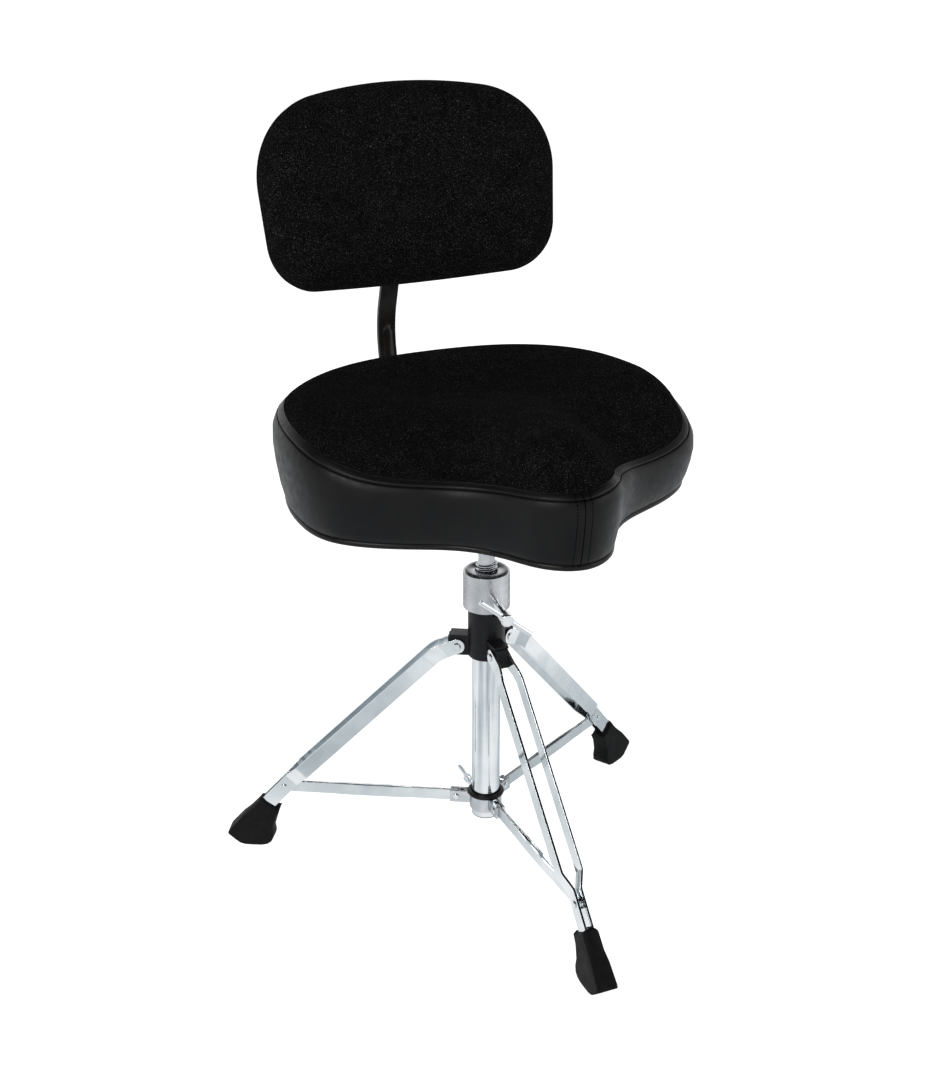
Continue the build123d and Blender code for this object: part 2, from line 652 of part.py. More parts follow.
BRACKET_Y = 128.0
BRACKET_LENGTH = 76.0
BRACKET_HALF = 22.0
BRACKET_BOTTOM = 439.0
bracket_top_z = BOARD_BOTTOM
bracket_bolts = [(sx * 34, BRACKET_Y + sy * 26) for sx in (-1, 1) for sy in (-1, 1)]

with BuildPart() as bar_bracket:
    with BuildSketch(Plane.XY.offset(BRACKET_BOTTOM)):
        with Locations((0, BRACKET_Y)):
            Rectangle(2 * BRACKET_HALF, BRACKET_LENGTH)
    extrude(amount=bracket_top_z - BRACKET_BOTTOM)
    with BuildSketch(Plane.XY.offset(bracket_top_z)):
        with Locations((0, BRACKET_Y)):
            Rectangle(88, BRACKET_LENGTH)
    extrude(amount=-3)
    with BuildSketch(Plane.XZ):
        with Locations((0, BAR_LOW_Z)):
            Rectangle(BAR_WIDTH + 2 * SLIDE_GAP, BAR_T + 2 * SLIDE_GAP)
    extrude(amount=-300, mode=Mode.SUBTRACT)
    with BuildSketch(Plane.XY.offset(BRACKET_BOTTOM)):
        with Locations((0, BRACKET_Y)):
            Circle(STUD_R + PIN_CLEARANCE)
    extrude(amount=BAR_LOW_Z - BRACKET_BOTTOM, mode=Mode.SUBTRACT)
    with BuildSketch(Plane.XY.offset(bracket_top_z)):
        with Locations(*bracket_bolts):
            Circle(2.6)
    extrude(amount=-3, mode=Mode.SUBTRACT)
bar_bracket.part.label = "bar_bracket"
export_step(bar_bracket.part, "parts/bar_bracket.step")

with BuildPart() as bracket_screws:
    with BuildSketch(Plane.XY.offset(bracket_top_z - 3)):
        with Locations(*bracket_bolts):
            Circle(4.6)
    extrude(amount=-2.5)
    with BuildSketch(Plane.XY.offset(bracket_top_z - 3)):
        with Locations(*bracket_bolts):
            Circle(2.6)
    extrude(amount=12)
bracket_screws.part.label = "bracket_screws"
export_step(bracket_screws.part, "parts/bracket_screws.step")


def knob_profile(stud_end):
    """Half profile of a hand knob: its stud, boss and rim, as radius and distance outwards."""
    with BuildLine() as edge:
        Polyline(
            (0, stud_end), (STUD_R, stud_end), (STUD_R, 0.4), (9, 0.4), (9, 7),
            (KNOB_R, 9), (KNOB_R, 20), (13, 22), (0, 22), close=True,
        )
    make_face(edge.edges())


with BuildPart() as bar_knob:
    knob_plane = Plane(origin=(0, BRACKET_Y, BRACKET_BOTTOM), x_dir=(1, 0, 0), z_dir=(0, 1, 0))
    with BuildSketch(knob_plane):
        knob_profile(-4.6)
    revolve(axis=Axis(origin=(0, BRACKET_Y, 0), direction=(0, 0, 1)))
bar_knob.part.label = "bar_knob"
export_step(bar_knob.part, "parts/bar_knob.step")

# ---------------------------------------------------------------- backrest bar

with BuildPart() as back_bar:
    with BuildSketch(Plane.YZ):
        with BuildLine():
            FilletPolyline(
                (74, BAR_LOW_Z),
                (269, BAR_LOW_Z),
                (294, 562),
                (BAR_BACK_Y, 632),
                (BAR_BACK_Y, BAR_TOP),
                radius=[42, 16, 40],
            )
        trace(line_width=BAR_T)
    extrude(amount=BAR_WIDTH / 2, both=True)
back_bar.part.label = "back_bar"
export_step(back_bar.part, "parts/back_bar.step")

# ---------------------------------------------------------------- backrest pad

PAD_BOARD_T = 10.0
PAD_PLATE = (96.0, 66.0, 4.0)

lean = radians(BACK_LEAN)
back_up = Vector(0, sin(lean), cos(lean))
back_normal = Vector(0, -cos(lean), sin(lean))
pad_face = Plane(origin=BACK_CENTRE, x_dir=(1, 0, 0), z_dir=back_normal)
pad_slice = Plane(origin=BACK_CENTRE, x_dir=(1, 0, 0), z_dir=back_up)


def curved_slab(front, rear):
    """Upright slab whose middle bows backwards, between two depths behind the pad's centre."""
    with BuildSketch(pad_slice.offset(-BACK_HEIGHT)) as section:
        with Locations((0, -BACK_RADIUS)):
            Circle(BACK_RADIUS + rear)
            Circle(BACK_RADIUS + front, mode=Mode.SUBTRACT)
        with Locations((0, -1.5 * BACK_RADIUS)):
            Rectangle(4 * BACK_RADIUS, 2.7 * BACK_RADIUS, mode=Mode.SUBTRACT)
    extrude(section.sketch, amount=2 * BACK_HEIGHT)


def trim_to_outline(inset):
    """Cut the slab to the backrest's outline, which is wider and rounder at the top."""
    top_half = BACK_WIDTH / 2 + 7 - inset
    low_half = BACK_WIDTH / 2 - 7 - inset
    half_height = BACK_HEIGHT / 2 - inset
    shoulder = half_height - 26
    hem = 4 - half_height
    with BuildLine() as edge:
        ThreePointArc((-top_half, shoulder), (0, half_height), (top_half, shoulder))
        Line((top_half, shoulder), (low_half, hem))
        ThreePointArc((low_half, hem), (0, -half_height), (-low_half, hem))
        Line((-low_half, hem), (-top_half, shoulder))
    with BuildSketch(pad_face) as outline:
        make_face(edge.edges())
        fillet(outline.vertices().sort_by(Axis.Y)[-2:], radius=100 - inset)
        fillet(outline.vertices().sort_by(Axis.Y)[:2], radius=58 - inset)
    extrude(outline.sketch, amount=BACK_THICK * 3, both=True, mode=Mode.INTERSECT)


with BuildPart() as back_pad:
    curved_slab(-BACK_THICK / 2, BACK_THICK / 2 - PAD_BOARD_T)
    trim_to_outline(0)
    fillet(back_pad.faces().sort_by(Axis.Y)[0].edges(), radius=18)
back_pad.part.label = "back_pad"
export_step(back_pad.part, "parts/back_pad.step")

with BuildPart() as back_board:
    curved_slab(BACK_THICK / 2 - PAD_BOARD_T, BACK_THICK / 2)
    trim_to_outline(5)
back_board.part.label = "back_board"
export_step(back_board.part, "parts/back_board.step")

plate_front = pad_face.offset(-BACK_THICK / 2)
with BuildPart() as back_plate:
    with BuildSketch(plate_front):
        RectangleRounded(PAD_PLATE[0], PAD_PLATE[1], 8)
        with GridLocations(74, 44, 2, 2):
            Circle(2.6, mode=Mode.SUBTRACT)
    extrude(amount=-PAD_PLATE[2])
back_plate.part.label = "back_plate"
export_step(back_plate.part, "parts/back_plate.step")

with BuildPart() as back_plate_screws:
    with BuildSketch(plate_front.offset(-PAD_PLATE[2])):
        with GridLocations(74, 44, 2, 2):
            Circle(4.8)
    extrude(amount=-2.4)
    with BuildSketch(plate_front.offset(-PAD_PLATE[2])):
        with GridLocations(74, 44, 2, 2):
            Circle(2.6)
    extrude(amount=PAD_PLATE[2])
back_plate_screws.part.label = "back_plate_screws"
export_step(back_plate_screws.part, "parts/back_plate_screws.step")

# ---------------------------------------------------------------- sleeve and height knob

SLEEVE_Z = 738.0
SLEEVE_HEIGHT = 60.0
SLEEVE_HALF = 19.0
SLEEVE_FRONT = 263.0
SLEEVE_BACK = 282.6

wedge_low = plate_front.from_local_coords(Vector(0, -26, -PAD_PLATE[2]))
wedge_high = plate_front.from_local_coords(Vector(0, 26, -PAD_PLATE[2]))
with BuildPart() as back_sleeve:
    with BuildSketch(Plane.YZ):
        with Locations(((SLEEVE_FRONT + SLEEVE_BACK) / 2, SLEEVE_Z)):
            Rectangle(SLEEVE_BACK - SLEEVE_FRONT, SLEEVE_HEIGHT)
    extrude(amount=SLEEVE_HALF, both=True)
    with BuildSketch(Plane.YZ):
        with BuildLine():
            Polyline(
                (wedge_low.Y, wedge_low.Z), (wedge_high.Y, wedge_high.Z),
                (SLEEVE_FRONT, wedge_high.Z), (SLEEVE_FRONT, wedge_low.Z), close=True,
            )
        make_face()
    extrude(amount=12, both=True)
    with BuildSketch(Plane.XY.offset(SLEEVE_Z - SLEEVE_HEIGHT)):
        with Locations((0, BAR_BACK_Y)):
            Rectangle(BAR_WIDTH + 2 * SLIDE_GAP, BAR_T + 2 * SLIDE_GAP)
    extrude(amount=2 * SLEEVE_HEIGHT, mode=Mode.SUBTRACT)
    with BuildSketch(facing_out(180, SLEEVE_BACK, SLEEVE_Z)):
        Circle(STUD_R + PIN_CLEARANCE)
    extrude(amount=BAR_BACK_Y - SLEEVE_BACK, mode=Mode.SUBTRACT)
back_sleeve.part.label = "back_sleeve"
export_step(back_sleeve.part, "parts/back_sleeve.step")

with BuildPart() as height_knob:
    knob_plane = Plane(origin=(0, SLEEVE_BACK, SLEEVE_Z), x_dir=(1, 0, 0), z_dir=(0, 0, 1))
    with BuildSketch(knob_plane):
        knob_profile(BAR_BACK_Y + BAR_T / 2 + 2 * SLIDE_GAP - SLEEVE_BACK)
    revolve(axis=Axis(origin=(0, 0, SLEEVE_Z), direction=(0, 1, 0)))
height_knob.part.label = "height_knob"
export_step(height_knob.part, "parts/height_knob.step")

# ---------------------------------------------------------------- seat

with BuildPart() as seat_trim:
    with BuildSketch(Plane.XY.offset(TRIM_BOTTOM)):
        seat_outline(0)
    extrude(amount=TRIM_SECTION)
    with BuildSketch(Plane.XY.offset(TRIM_BOTTOM)):
        seat_outline(-TRIM_SECTION)
    extrude(amount=TRIM_SECTION, mode=Mode.SUBTRACT)
seat_trim.part.label = "seat_trim"
export_step(seat_trim.part, "parts/seat_trim.step")

with BuildPart() as seat_board:
    with BuildSketch(Plane.XY.offset(BOARD_BOTTOM)):
        seat_outline(-TRIM_SECTION)
    extrude(amount=BOARD_T)
    add(seat_plate_bolts.part, mode=Mode.SUBTRACT)
    add(bracket_screws.part, mode=Mode.SUBTRACT)
seat_board.part.label = "seat_board"
export_step(seat_board.part, "parts/seat_board.step")

with BuildPart() as seat_pad:
    for height, bulge in BOXING.items():
        with BuildSketch(Plane.XY.offset(height)):
            seat_outline(bulge)
    loft()
    for plane, top_line in ((Plane.YZ, SEAT_RIDGE), (Plane.XZ, SEAT_CROWN)):
        start, end = top_line[0], top_line[-1]
        with BuildSketch(plane):
            with BuildLine():
                Spline(*top_line)
                Polyline(end, (end[0], 440), (start[0], 440), start)
            make_face()
        extrude(amount=280, both=True, mode=Mode.INTERSECT)
    with BuildSketch(Plane.XY.offset(BOARD_BOTTOM)):
        seat_outline(-TRIM_SECTION)
    extrude(amount=BOARD_T, mode=Mode.SUBTRACT)
seat_pad.part.label = "seat_pad"
export_step(seat_pad.part, "parts/seat_pad.step")
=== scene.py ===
"""Drum throne: folding chromed tripod, threaded spindle, saddle seat and curved backrest.

Lengths are millimetres unless a name says otherwise; MM turns them into the frame's metres.
An azimuth is measured from the front leg, -Y, towards +X, as in the CAD source.
"""

import bpy
import bmesh
import math
import numpy as np
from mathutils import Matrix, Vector


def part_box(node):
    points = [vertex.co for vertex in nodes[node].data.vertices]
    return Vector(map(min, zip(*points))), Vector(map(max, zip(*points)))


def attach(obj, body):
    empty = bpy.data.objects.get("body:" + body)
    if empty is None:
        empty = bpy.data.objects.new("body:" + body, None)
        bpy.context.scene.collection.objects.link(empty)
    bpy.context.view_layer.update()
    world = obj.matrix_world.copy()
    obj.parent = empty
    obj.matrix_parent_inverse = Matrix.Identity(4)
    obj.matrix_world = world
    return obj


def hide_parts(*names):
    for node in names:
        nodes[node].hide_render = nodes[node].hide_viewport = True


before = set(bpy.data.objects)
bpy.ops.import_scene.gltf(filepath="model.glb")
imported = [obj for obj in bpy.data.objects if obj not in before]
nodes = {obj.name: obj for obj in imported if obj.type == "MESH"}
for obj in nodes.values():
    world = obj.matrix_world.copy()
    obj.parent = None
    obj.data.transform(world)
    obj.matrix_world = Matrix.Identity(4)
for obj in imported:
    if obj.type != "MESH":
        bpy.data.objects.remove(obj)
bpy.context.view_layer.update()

# ---------------------------------------------------------------- studio
# White paper floor that glows a little, a white horizon and a dark ceiling with three soft boxes,
# so that plated steel shows white faces and thin black edges.  A pale grey card on the floor, seen
# only in reflections, puts soft clouds into the plating.

MM = 0.001


def linear(code):
    """Scene-linear colour of an sRGB hex value."""
    channels = [int(code[start:start + 2], 16) / 255 for start in (1, 3, 5)]
    curved = [c / 12.92 if c <= 0.04045 else ((c + 0.055) / 1.055) ** 2.4 for c in channels]
    return (*curved, 1.0)


def add_node(tree, kind, inputs=(), **settings):
    """One shader node with its settings; an input is linked from a socket or set to a value."""
    made = tree.nodes.new("ShaderNode" + kind)
    for key, value in settings.items():
        setattr(made, key, value)
    for key, value in dict(inputs).items():
        if isinstance(value, bpy.types.NodeSocket):
            tree.links.new(value, made.inputs[key])
        else:
            made.inputs[key].default_value = value
    return made


def ramp(tree, factor, stops):
    """Colour ramp over a factor, from (position, sRGB hex) stops."""
    made = add_node(tree, "ValToRGB", {"Fac": factor})
    made.color_ramp.elements.remove(made.color_ramp.elements[1])
    for index, (position, code) in enumerate(stops):
        if index == 0:
            stop = made.color_ramp.elements[0]
            stop.position = position
        else:
            stop = made.color_ramp.elements.new(position)
        stop.color = linear(code)
    return made.outputs["Color"]


scene = bpy.context.scene
scene.view_settings.view_transform = "Standard"

CAMERA_AT = Vector((-0.739, -1.619, 1.146))
CAMERA_AIM = Vector((-0.0181, 0.0080, 0.4013))
camera_data = bpy.data.cameras.new("camera")
camera_data.sensor_width = 36
camera_data.lens = 59.63
camera = bpy.data.objects.new("camera", camera_data)
camera.location = CAMERA_AT
camera.rotation_euler = (CAMERA_AIM - CAMERA_AT).to_track_quat("-Z", "Y").to_euler()
scene.collection.objects.link(camera)
scene.camera = camera

world = bpy.data.worlds.new("soft dome")
world.use_nodes = True
sky = world.node_tree
sky.nodes.clear()
direction = add_node(sky, "TexCoord").outputs["Generated"]
height = add_node(sky, "SeparateXYZ", {"Vector": direction}).outputs["Z"]
dome = ramp(
    sky, height,
    ((0.0, "#ffffff"), (0.3, "#f4f5f6"), (0.48, "#8d9092"), (0.62, "#18191a"), (1.0, "#0c0c0d")),
)
glow = add_node(sky, "Background", {"Color": dome, "Strength": 1.0})
add_node(sky, "OutputWorld", {"Surface": glow.outputs[0]})
scene.world = world


def new_material(name, **surface):
    """Material of one principled shader; returns it, its node tree and the shader."""
    made = bpy.data.materials.new(name)
    made.use_nodes = True
    tree = made.node_tree
    tree.nodes.clear()
    plain = {key.replace("_", " "): value for key, value in surface.items()}
    shader = add_node(tree, "BsdfPrincipled", plain)
    add_node(tree, "OutputMaterial", {"Surface": shader.outputs[0]})
    return made, tree, shader


def noise(tree, size, detail=2.0, stretch=(1, 1, 1)):
    """Noise with features of a size in millimetres, in the object's own space."""
    place = add_node(tree, "TexCoord").outputs["Object"]
    scaled = add_node(tree, "Mapping", {"Vector": place, "Scale": stretch}).outputs[0]
    return add_node(
        tree, "TexNoise", {"Vector": scaled, "Scale": 1 / (size * MM), "Detail": detail}
    ).outputs["Fac"]


def bump(tree, shader, height_socket, depth, strength=1.0):
    """Surface relief of a depth in millimetres on the shader."""
    made = add_node(
        tree, "Bump", {"Height": height_socket, "Distance": depth * MM, "Strength": strength}
    )
    tree.links.new(made.outputs[0], shader.inputs["Normal"])


def spread(tree, factor, low, high):
    """Factor turned into a range of values."""
    ends = {"From Min": 0.3, "From Max": 0.7, "To Min": low, "To Max": high}
    return add_node(tree, "MapRange", {"Value": factor, **ends}).outputs[0]


def new_piece(name, points, faces, material):
    """Mesh object from points in millimetres and faces of point indices."""
    mesh = bpy.data.meshes.new(name)
    mesh.from_pydata([tuple(c * MM for c in point) for point in points], [], faces)
    mesh.validate()
    mesh.materials.append(material)
    for polygon in mesh.polygons:
        polygon.use_smooth = True
    made = bpy.data.objects.new(name, mesh)
    scene.collection.objects.link(made)
    return made


# Paper: an even white with no horizon, and only faint shadows under the feet.
FLOOR_HALF = 15000
CLOUD = 400
paper, tree, shader = new_material(
    "backlit white paper sweep", Roughness=0.9, Specular_IOR_Level=0.0
)
fibre = ramp(tree, noise(tree, CLOUD), ((0.3, "#fbfbfb"), (0.7, "#ffffff")))
shade = ramp(tree, noise(tree, CLOUD), ((0.3, "#a4a4a4"), (0.7, "#a8a8a8")))
tree.links.new(shade, shader.inputs["Base Color"])
tree.links.new(fibre, shader.inputs["Emission Color"])
shader.inputs["Emission Strength"].default_value = 1.0
corners = [(x * FLOOR_HALF, y * FLOOR_HALF, 0) for x, y in ((-1, -1), (1, -1), (1, 1), (-1, 1))]
floor = new_piece("floor", corners, [(0, 1, 2, 3)], paper)

# Card: uneven pale greys, which the plating picks up as soft bands.
CARD_R = 2600
CARD_CORNERS = 64
grey_card, tree, shader = new_material(
    "grey reflector card", Roughness=1.0, Specular_IOR_Level=0.0
)
shader.inputs["Base Color"].default_value = linear("#000000")
cloud = ramp(tree, noise(tree, 420, 1.0), ((0.36, "#bcc3c7"), (0.5, "#e6eaec"), (0.6, "#ffffff")))
tree.links.new(cloud, shader.inputs["Emission Color"])
shader.inputs["Emission Strength"].default_value = 1.08
turns = [2 * math.pi * corner / CARD_CORNERS for corner in range(CARD_CORNERS)]
rim = [(CARD_R * math.cos(turn), CARD_R * math.sin(turn), 0.5) for turn in turns]
card = new_piece("reflector_card", rim, [tuple(range(CARD_CORNERS))], grey_card)
card.visible_camera = False
card.visible_diffuse = False
card.visible_shadow = False

LIGHTS_AIM = Vector((0, 0, 0.45))
for name, place, size, power in (
    ("key", (-1.9, -1.2, 2.2), 1.2, 42),
    ("fill", (2.0, -1.3, 1.5), 1.4, 12),
    ("back", (0.5, 1.9, 2.2), 1.2, 26),
):
    light_data = bpy.data.lights.new(name, "AREA")
    light_data.size = size
    light_data.energy = power
    light = bpy.data.objects.new(name, light_data)
    light.location = place
    light.rotation_euler = (LIGHTS_AIM - light.location).to_track_quat("-Z", "Y").to_euler()
    scene.collection.objects.link(light)

# ---------------------------------------------------------------- column
# Steel tube of 32 mm, polished and chrome plated, pressed into the hub, with a nylon end plug.
# The plate is a near mirror; only a trace of polishing haze breaks up the reflections.


def chrome(name, light="#dfe3e6", dark="#d4d8dc", haze=0.05, ripple=0.01):
    """Chrome plate: a mirror with a little polishing haze and a faint ripple."""
    made, tree, shader = new_material(name, Metallic=1.0)
    cloud = noise(tree, 28)
    tree.links.new(ramp(tree, cloud, ((0.35, dark), (0.65, light))), shader.inputs["Base Color"])
    tree.links.new(spread(tree, noise(tree, 9), haze, haze * 2), shader.inputs["Roughness"])
    bump(tree, shader, noise(tree, 22, 1.0), ripple)
    return made


def moulded(name, light, dark, roughness, grain=0.6, relief=0.03, level=0.16):
    """Moulded rubber or plastic with a fine spark-eroded grain."""
    made, tree, shader = new_material(name, Specular_IOR_Level=level)
    tree.links.new(
        ramp(tree, noise(tree, 6, 4.0), ((0.35, dark), (0.7, light))), shader.inputs["Base Color"]
    )
    wear = spread(tree, noise(tree, 14), roughness - 0.05, roughness + 0.07)
    tree.links.new(wear, shader.inputs["Roughness"])
    bump(tree, shader, noise(tree, grain, 3.0), relief)
    return made


def finish(material, *names):
    """Give CAD nodes a material."""
    for name in names:
        mesh = nodes[name].data
        mesh.materials.clear()
        mesh.materials.append(material)


def eased(name, body, material, ease=0.4, steps=2):
    """Copy of a CAD node with eased edges, as tumbling leaves them; it replaces the node."""
    mesh = nodes[name].data.copy()
    shape = bmesh.new()
    shape.from_mesh(mesh)
    bmesh.ops.remove_doubles(shape, verts=shape.verts, dist=1e-6)
    bmesh.ops.dissolve_limit(
        shape, angle_limit=math.radians(0.6), verts=shape.verts, edges=shape.edges
    )
    for face in shape.faces:
        face.smooth = True
    shape.to_mesh(mesh)
    shape.free()
    mesh.materials.clear()
    mesh.materials.append(material)
    made = bpy.data.objects.new(name + "_eased", mesh)
    scene.collection.objects.link(made)
    rounding = made.modifiers.new("eased edges", "BEVEL")
    rounding.width = ease * MM
    rounding.segments = steps
    rounding.limit_method = "ANGLE"
    rounding.angle_limit = math.radians(32)
    made.modifiers.new("flat faces", "WEIGHTED_NORMAL").weight = 100
    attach(made, body)
    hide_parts(name)
    return made


# Tube: long bright and grey bands with crisp edges.  Nylon: a dull, even black.
tube_chrome = chrome("chrome plate on drawn tube", haze=0.035)
plug_nylon = moulded("black moulded nylon", "#1c1c1d", "#141415", 0.45)
finish(tube_chrome, "column_tube")
finish(plug_nylon, "tube_end_plug")

# ---------------------------------------------------------------- hub
# Zinc casting on top of the tube, with three slotted ears for the legs, in satin black powder
# coat: a soft sheen with a fine orange peel.  Chromed rivets with domed heads hold the legs.

# Coat: a broad soft sheen on near black.  Turned chrome: a small bright spot on each head.
hub_coat = moulded("satin black powder coat", "#17171a", "#101012", 0.36, grain=1.2, relief=0.02)
rivet_chrome = chrome("chrome plate on turned steel", haze=0.06)
eased("leg_hub", "root", hub_coat, ease=0.7, steps=3)
finish(plug_nylon, "hub_washer")
finish(rivet_chrome, "hub_rivets")

# ---------------------------------------------------------------- legs and struts
# Flat steel straps, blanked, joggled and chrome plated, in pairs; the thinner struts run to the
# sliding collar.  Blanking and plating leave small round edges that catch a bright line.

# Strap plate: pale even faces with thin dark edges.
strap_chrome = chrome(
    "chrome plate on flat steel", light="#e0e4e6", dark="#d3d8db", haze=0.05, ripple=0.02
)
for leg in ("front", "right", "left"):
    for letter in "ab":
        eased(f"{leg}_leg_strap_{letter}", f"{leg}_leg", strap_chrome, ease=0.5)
        eased(f"{leg}_strut_strap_{letter}", f"{leg}_strut", strap_chrome, ease=0.4)
    finish(rivet_chrome, f"{leg}_leg_rivet", f"{leg}_strut_pin")

# ---------------------------------------------------------------- feet
# Moulded black rubber boots pushed over the strap ends: a sloping outer face, a band round the
# mouth, a small horn at each end of it, and a rounded heel.  The skin is matt with a dusty bloom.


def skin(name, rings, material, around=True, ends=False):
    """Mesh through rings of points, each joined to the next, closed around and at its ends."""
    count = len(rings[0])
    points = [point for ring in rings for point in ring]
    faces = []
    for row in range(len(rings) - 1):
        for column in range(count if around else count - 1):
            here = row * count + column
            beside = row * count + (column + 1) % count
            faces.append((here, beside, beside + count, here + count))
    if ends:
        faces.append(tuple(reversed(range(count))))
        faces.append(tuple(range((len(rings) - 1) * count, len(rings) * count)))
    return new_piece(name, points, faces, material)


# Rubber: dead black with hardly any shine.
boot_rubber = moulded(
    "matt black moulded rubber", "#121212", "#0b0b0b", 0.6, grain=0.9, relief=0.05, level=0.1
)
FOOT_SIDE = [
    (249.5, 22), (245, 37), (241.2, 50.5), (243.5, 49.5), (257.5, 58.5), (260.6, 62.8), (264, 61.8),
    (266, 58.6), (276.5, 47), (287, 35.5), (294, 27.5), (301, 19.3), (303.4, 16.3), (304.1, 13.4),
    (296, 6.6), (290.4, 2.1), (284, 0.2), (274, 0), (264, 0.2), (257, 1.8), (252, 5.6),
    (248.3, 12.8),
]
MOUTH = (260.8, 63.3)
DOWN = (0.446, -0.895)
MOUTH_HALF = 8.6
FLARE = 0.052
BAND_DEPTH = 14.5
BAND_PROUD = 0.55
FACE_INSET = 0.16
SHOULDER_Z = 45
CROWN = 4.0
HEEL_ROUND = 2.0


def foot_half_width(r, z):
    """Half width of the rubber at a point of its side outline."""
    depth = (r - MOUTH[0]) * DOWN[0] + (z - MOUTH[1]) * DOWN[1]
    band = BAND_PROUD if depth < BAND_DEPTH else 0.0
    return MOUTH_HALF + FLARE * max(depth, 0) + band


for leg, azimuth in (("front", 0), ("right", 120), ("left", -120)):
    out = Vector((math.sin(math.radians(azimuth)), -math.cos(math.radians(azimuth)), 0))
    across = out.cross(Vector((0, 0, 1)))
    centre = Vector((np.mean([p[0] for p in FOOT_SIDE]), np.mean([p[1] for p in FOOT_SIDE])))
    rings = []
    for share, inset in (
        (-1.0, FACE_INSET), (-1.0, 0.0), (-0.6, 0.0), (0.0, 0.0), (0.6, 0.0), (1.0, 0.0),
        (1.0, FACE_INSET),
    ):
        ring = []
        for r, z in FOOT_SIDE:
            half = foot_half_width(r, z)
            crown = CROWN * abs(share) ** 3 if z > SHOULDER_Z else 0.0
            r_in = r + (centre.x - r) * inset
            z_in = z - crown + (centre.y - z) * inset
            heel = HEEL_ROUND * abs(share) ** 3 if r < 252 and z < SHOULDER_Z else 0.0
            spot = out * (r_in + heel) + across * (half * share) + Vector((0, 0, z_in))
            ring.append(tuple(spot))
        rings.append(ring)
    foot = skin(f"{leg}_foot_boot", rings, boot_rubber, ends=True)
    rounding = foot.modifiers.new("moulded edges", "BEVEL")
    rounding.width = 2.2 * MM
    rounding.segments = 3
    rounding.limit_method = "ANGLE"
    rounding.angle_limit = math.radians(28)
    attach(foot, f"{leg}_leg")
    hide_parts(f"{leg}_foot")

# ---------------------------------------------------------------- sliding collar
# Chromed die-cast ring that slides on the tube, with a forked lug for each strut, a rubber
# cushion ring on top and a thumb screw with a cross bar at the back.

# Cast plate: a little greyer and softer than the straps.  Ring rubber: a thin soft highlight.
cast_chrome = chrome(
    "chrome plate on die casting", light="#cccfd2", dark="#b8bcc0", haze=0.08, ripple=0.03
)
ring_rubber = moulded("smooth black nitrile rubber", "#151516", "#0e0e0f", 0.42, relief=0.01)
eased("slide_collar", "collar", cast_chrome, ease=0.5)
finish(ring_rubber, "collar_o_ring")
finish(rivet_chrome, "collar_rivets", "collar_screw", "collar_screw_bar")

# ---------------------------------------------------------------- knurled nut
# Turned steel nut, 52 mm across, with a fine diagonal knurl, a chamfer top and bottom, and
# chrome over it.  The knurl is real relief: crossed grooves that leave small pyramids.

NUT_R = 26.0
NUT_LOW = 318.5
NUT_HIGH = 364.0
KNURL_PITCH = 1.7
KNURL_DEPTH = 0.42
KNURL_SLANT = 1.15
KNURL_ROWS = 88
KNURL_MARGIN = 2.2
THREAD_R = 12.0
BORE_R = THREAD_R + 0.2
diamonds = round(2 * math.pi * NUT_R / KNURL_PITCH)


def knurl(turn, z):
    """Radius of the knurl: two sets of slanting grooves that cross."""
    run = z / (KNURL_PITCH * KNURL_SLANT)
    first = abs(((turn * diamonds + run) % 1) - 0.5)
    second = abs(((turn * diamonds - run) % 1) - 0.5)
    return NUT_R - 0.05 - KNURL_DEPTH * 2 * max(0.5 - first, 0.5 - second) * 0.9


steps_round = diamonds * 4
knurl_low = NUT_LOW + KNURL_MARGIN
knurl_step = (NUT_HIGH - KNURL_MARGIN - knurl_low) / KNURL_ROWS


def circle(radius, z, count):
    """Ring of points at a height; the radius is a number, or a function of the turn and height."""
    ring = []
    for step in range(count):
        turn = step / count
        r = radius(turn, z) if callable(radius) else radius
        ring.append((r * math.cos(2 * math.pi * turn), r * math.sin(2 * math.pi * turn), z))
    return ring


nut_sections = [(BORE_R, NUT_LOW), (NUT_R - 2.2, NUT_LOW), (NUT_R - 0.5, NUT_LOW + 1.6)]
nut_sections += [(knurl, knurl_low + knurl_step * row) for row in range(KNURL_ROWS + 1)]
nut_sections += [
    (NUT_R - 0.5, NUT_HIGH - 1.8), (NUT_R - 2.4, NUT_HIGH), (NUT_R - 4.5, NUT_HIGH),
    (THREAD_R + 1.6, NUT_HIGH), (BORE_R, NUT_HIGH - 1.4),
]
nut_rings = [circle(radius, z, steps_round) for radius, z in nut_sections]
# Knurled plate: a fine sparkling grey instead of a mirror.
knurl_chrome = chrome(
    "chrome plate over diagonal knurl", light="#cccdd0", dark="#b4b6b9", haze=0.16
)
nut = skin("knurled_nut_body", nut_rings, knurl_chrome)
nut.data.shade_smooth()
nut.data.set_sharp_from_angle(angle=math.radians(50))
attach(nut, "nut")
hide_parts("knurled_nut")
finish(plug_nylon, "clamp_pad")

# ---------------------------------------------------------------- T-screw
# Turned and chromed clamping screw through the nut, with a sliding cross bar through its head.

eased("t_screw", "t_screw", rivet_chrome, ease=0.4)
finish(rivet_chrome, "t_bar")

# ---------------------------------------------------------------- spindle
# Rolled trapezoidal thread, 24 mm with a 5 mm pitch, chrome plated, ending in a plain neck that
# turns in the swivel.  The thread is a true helix.

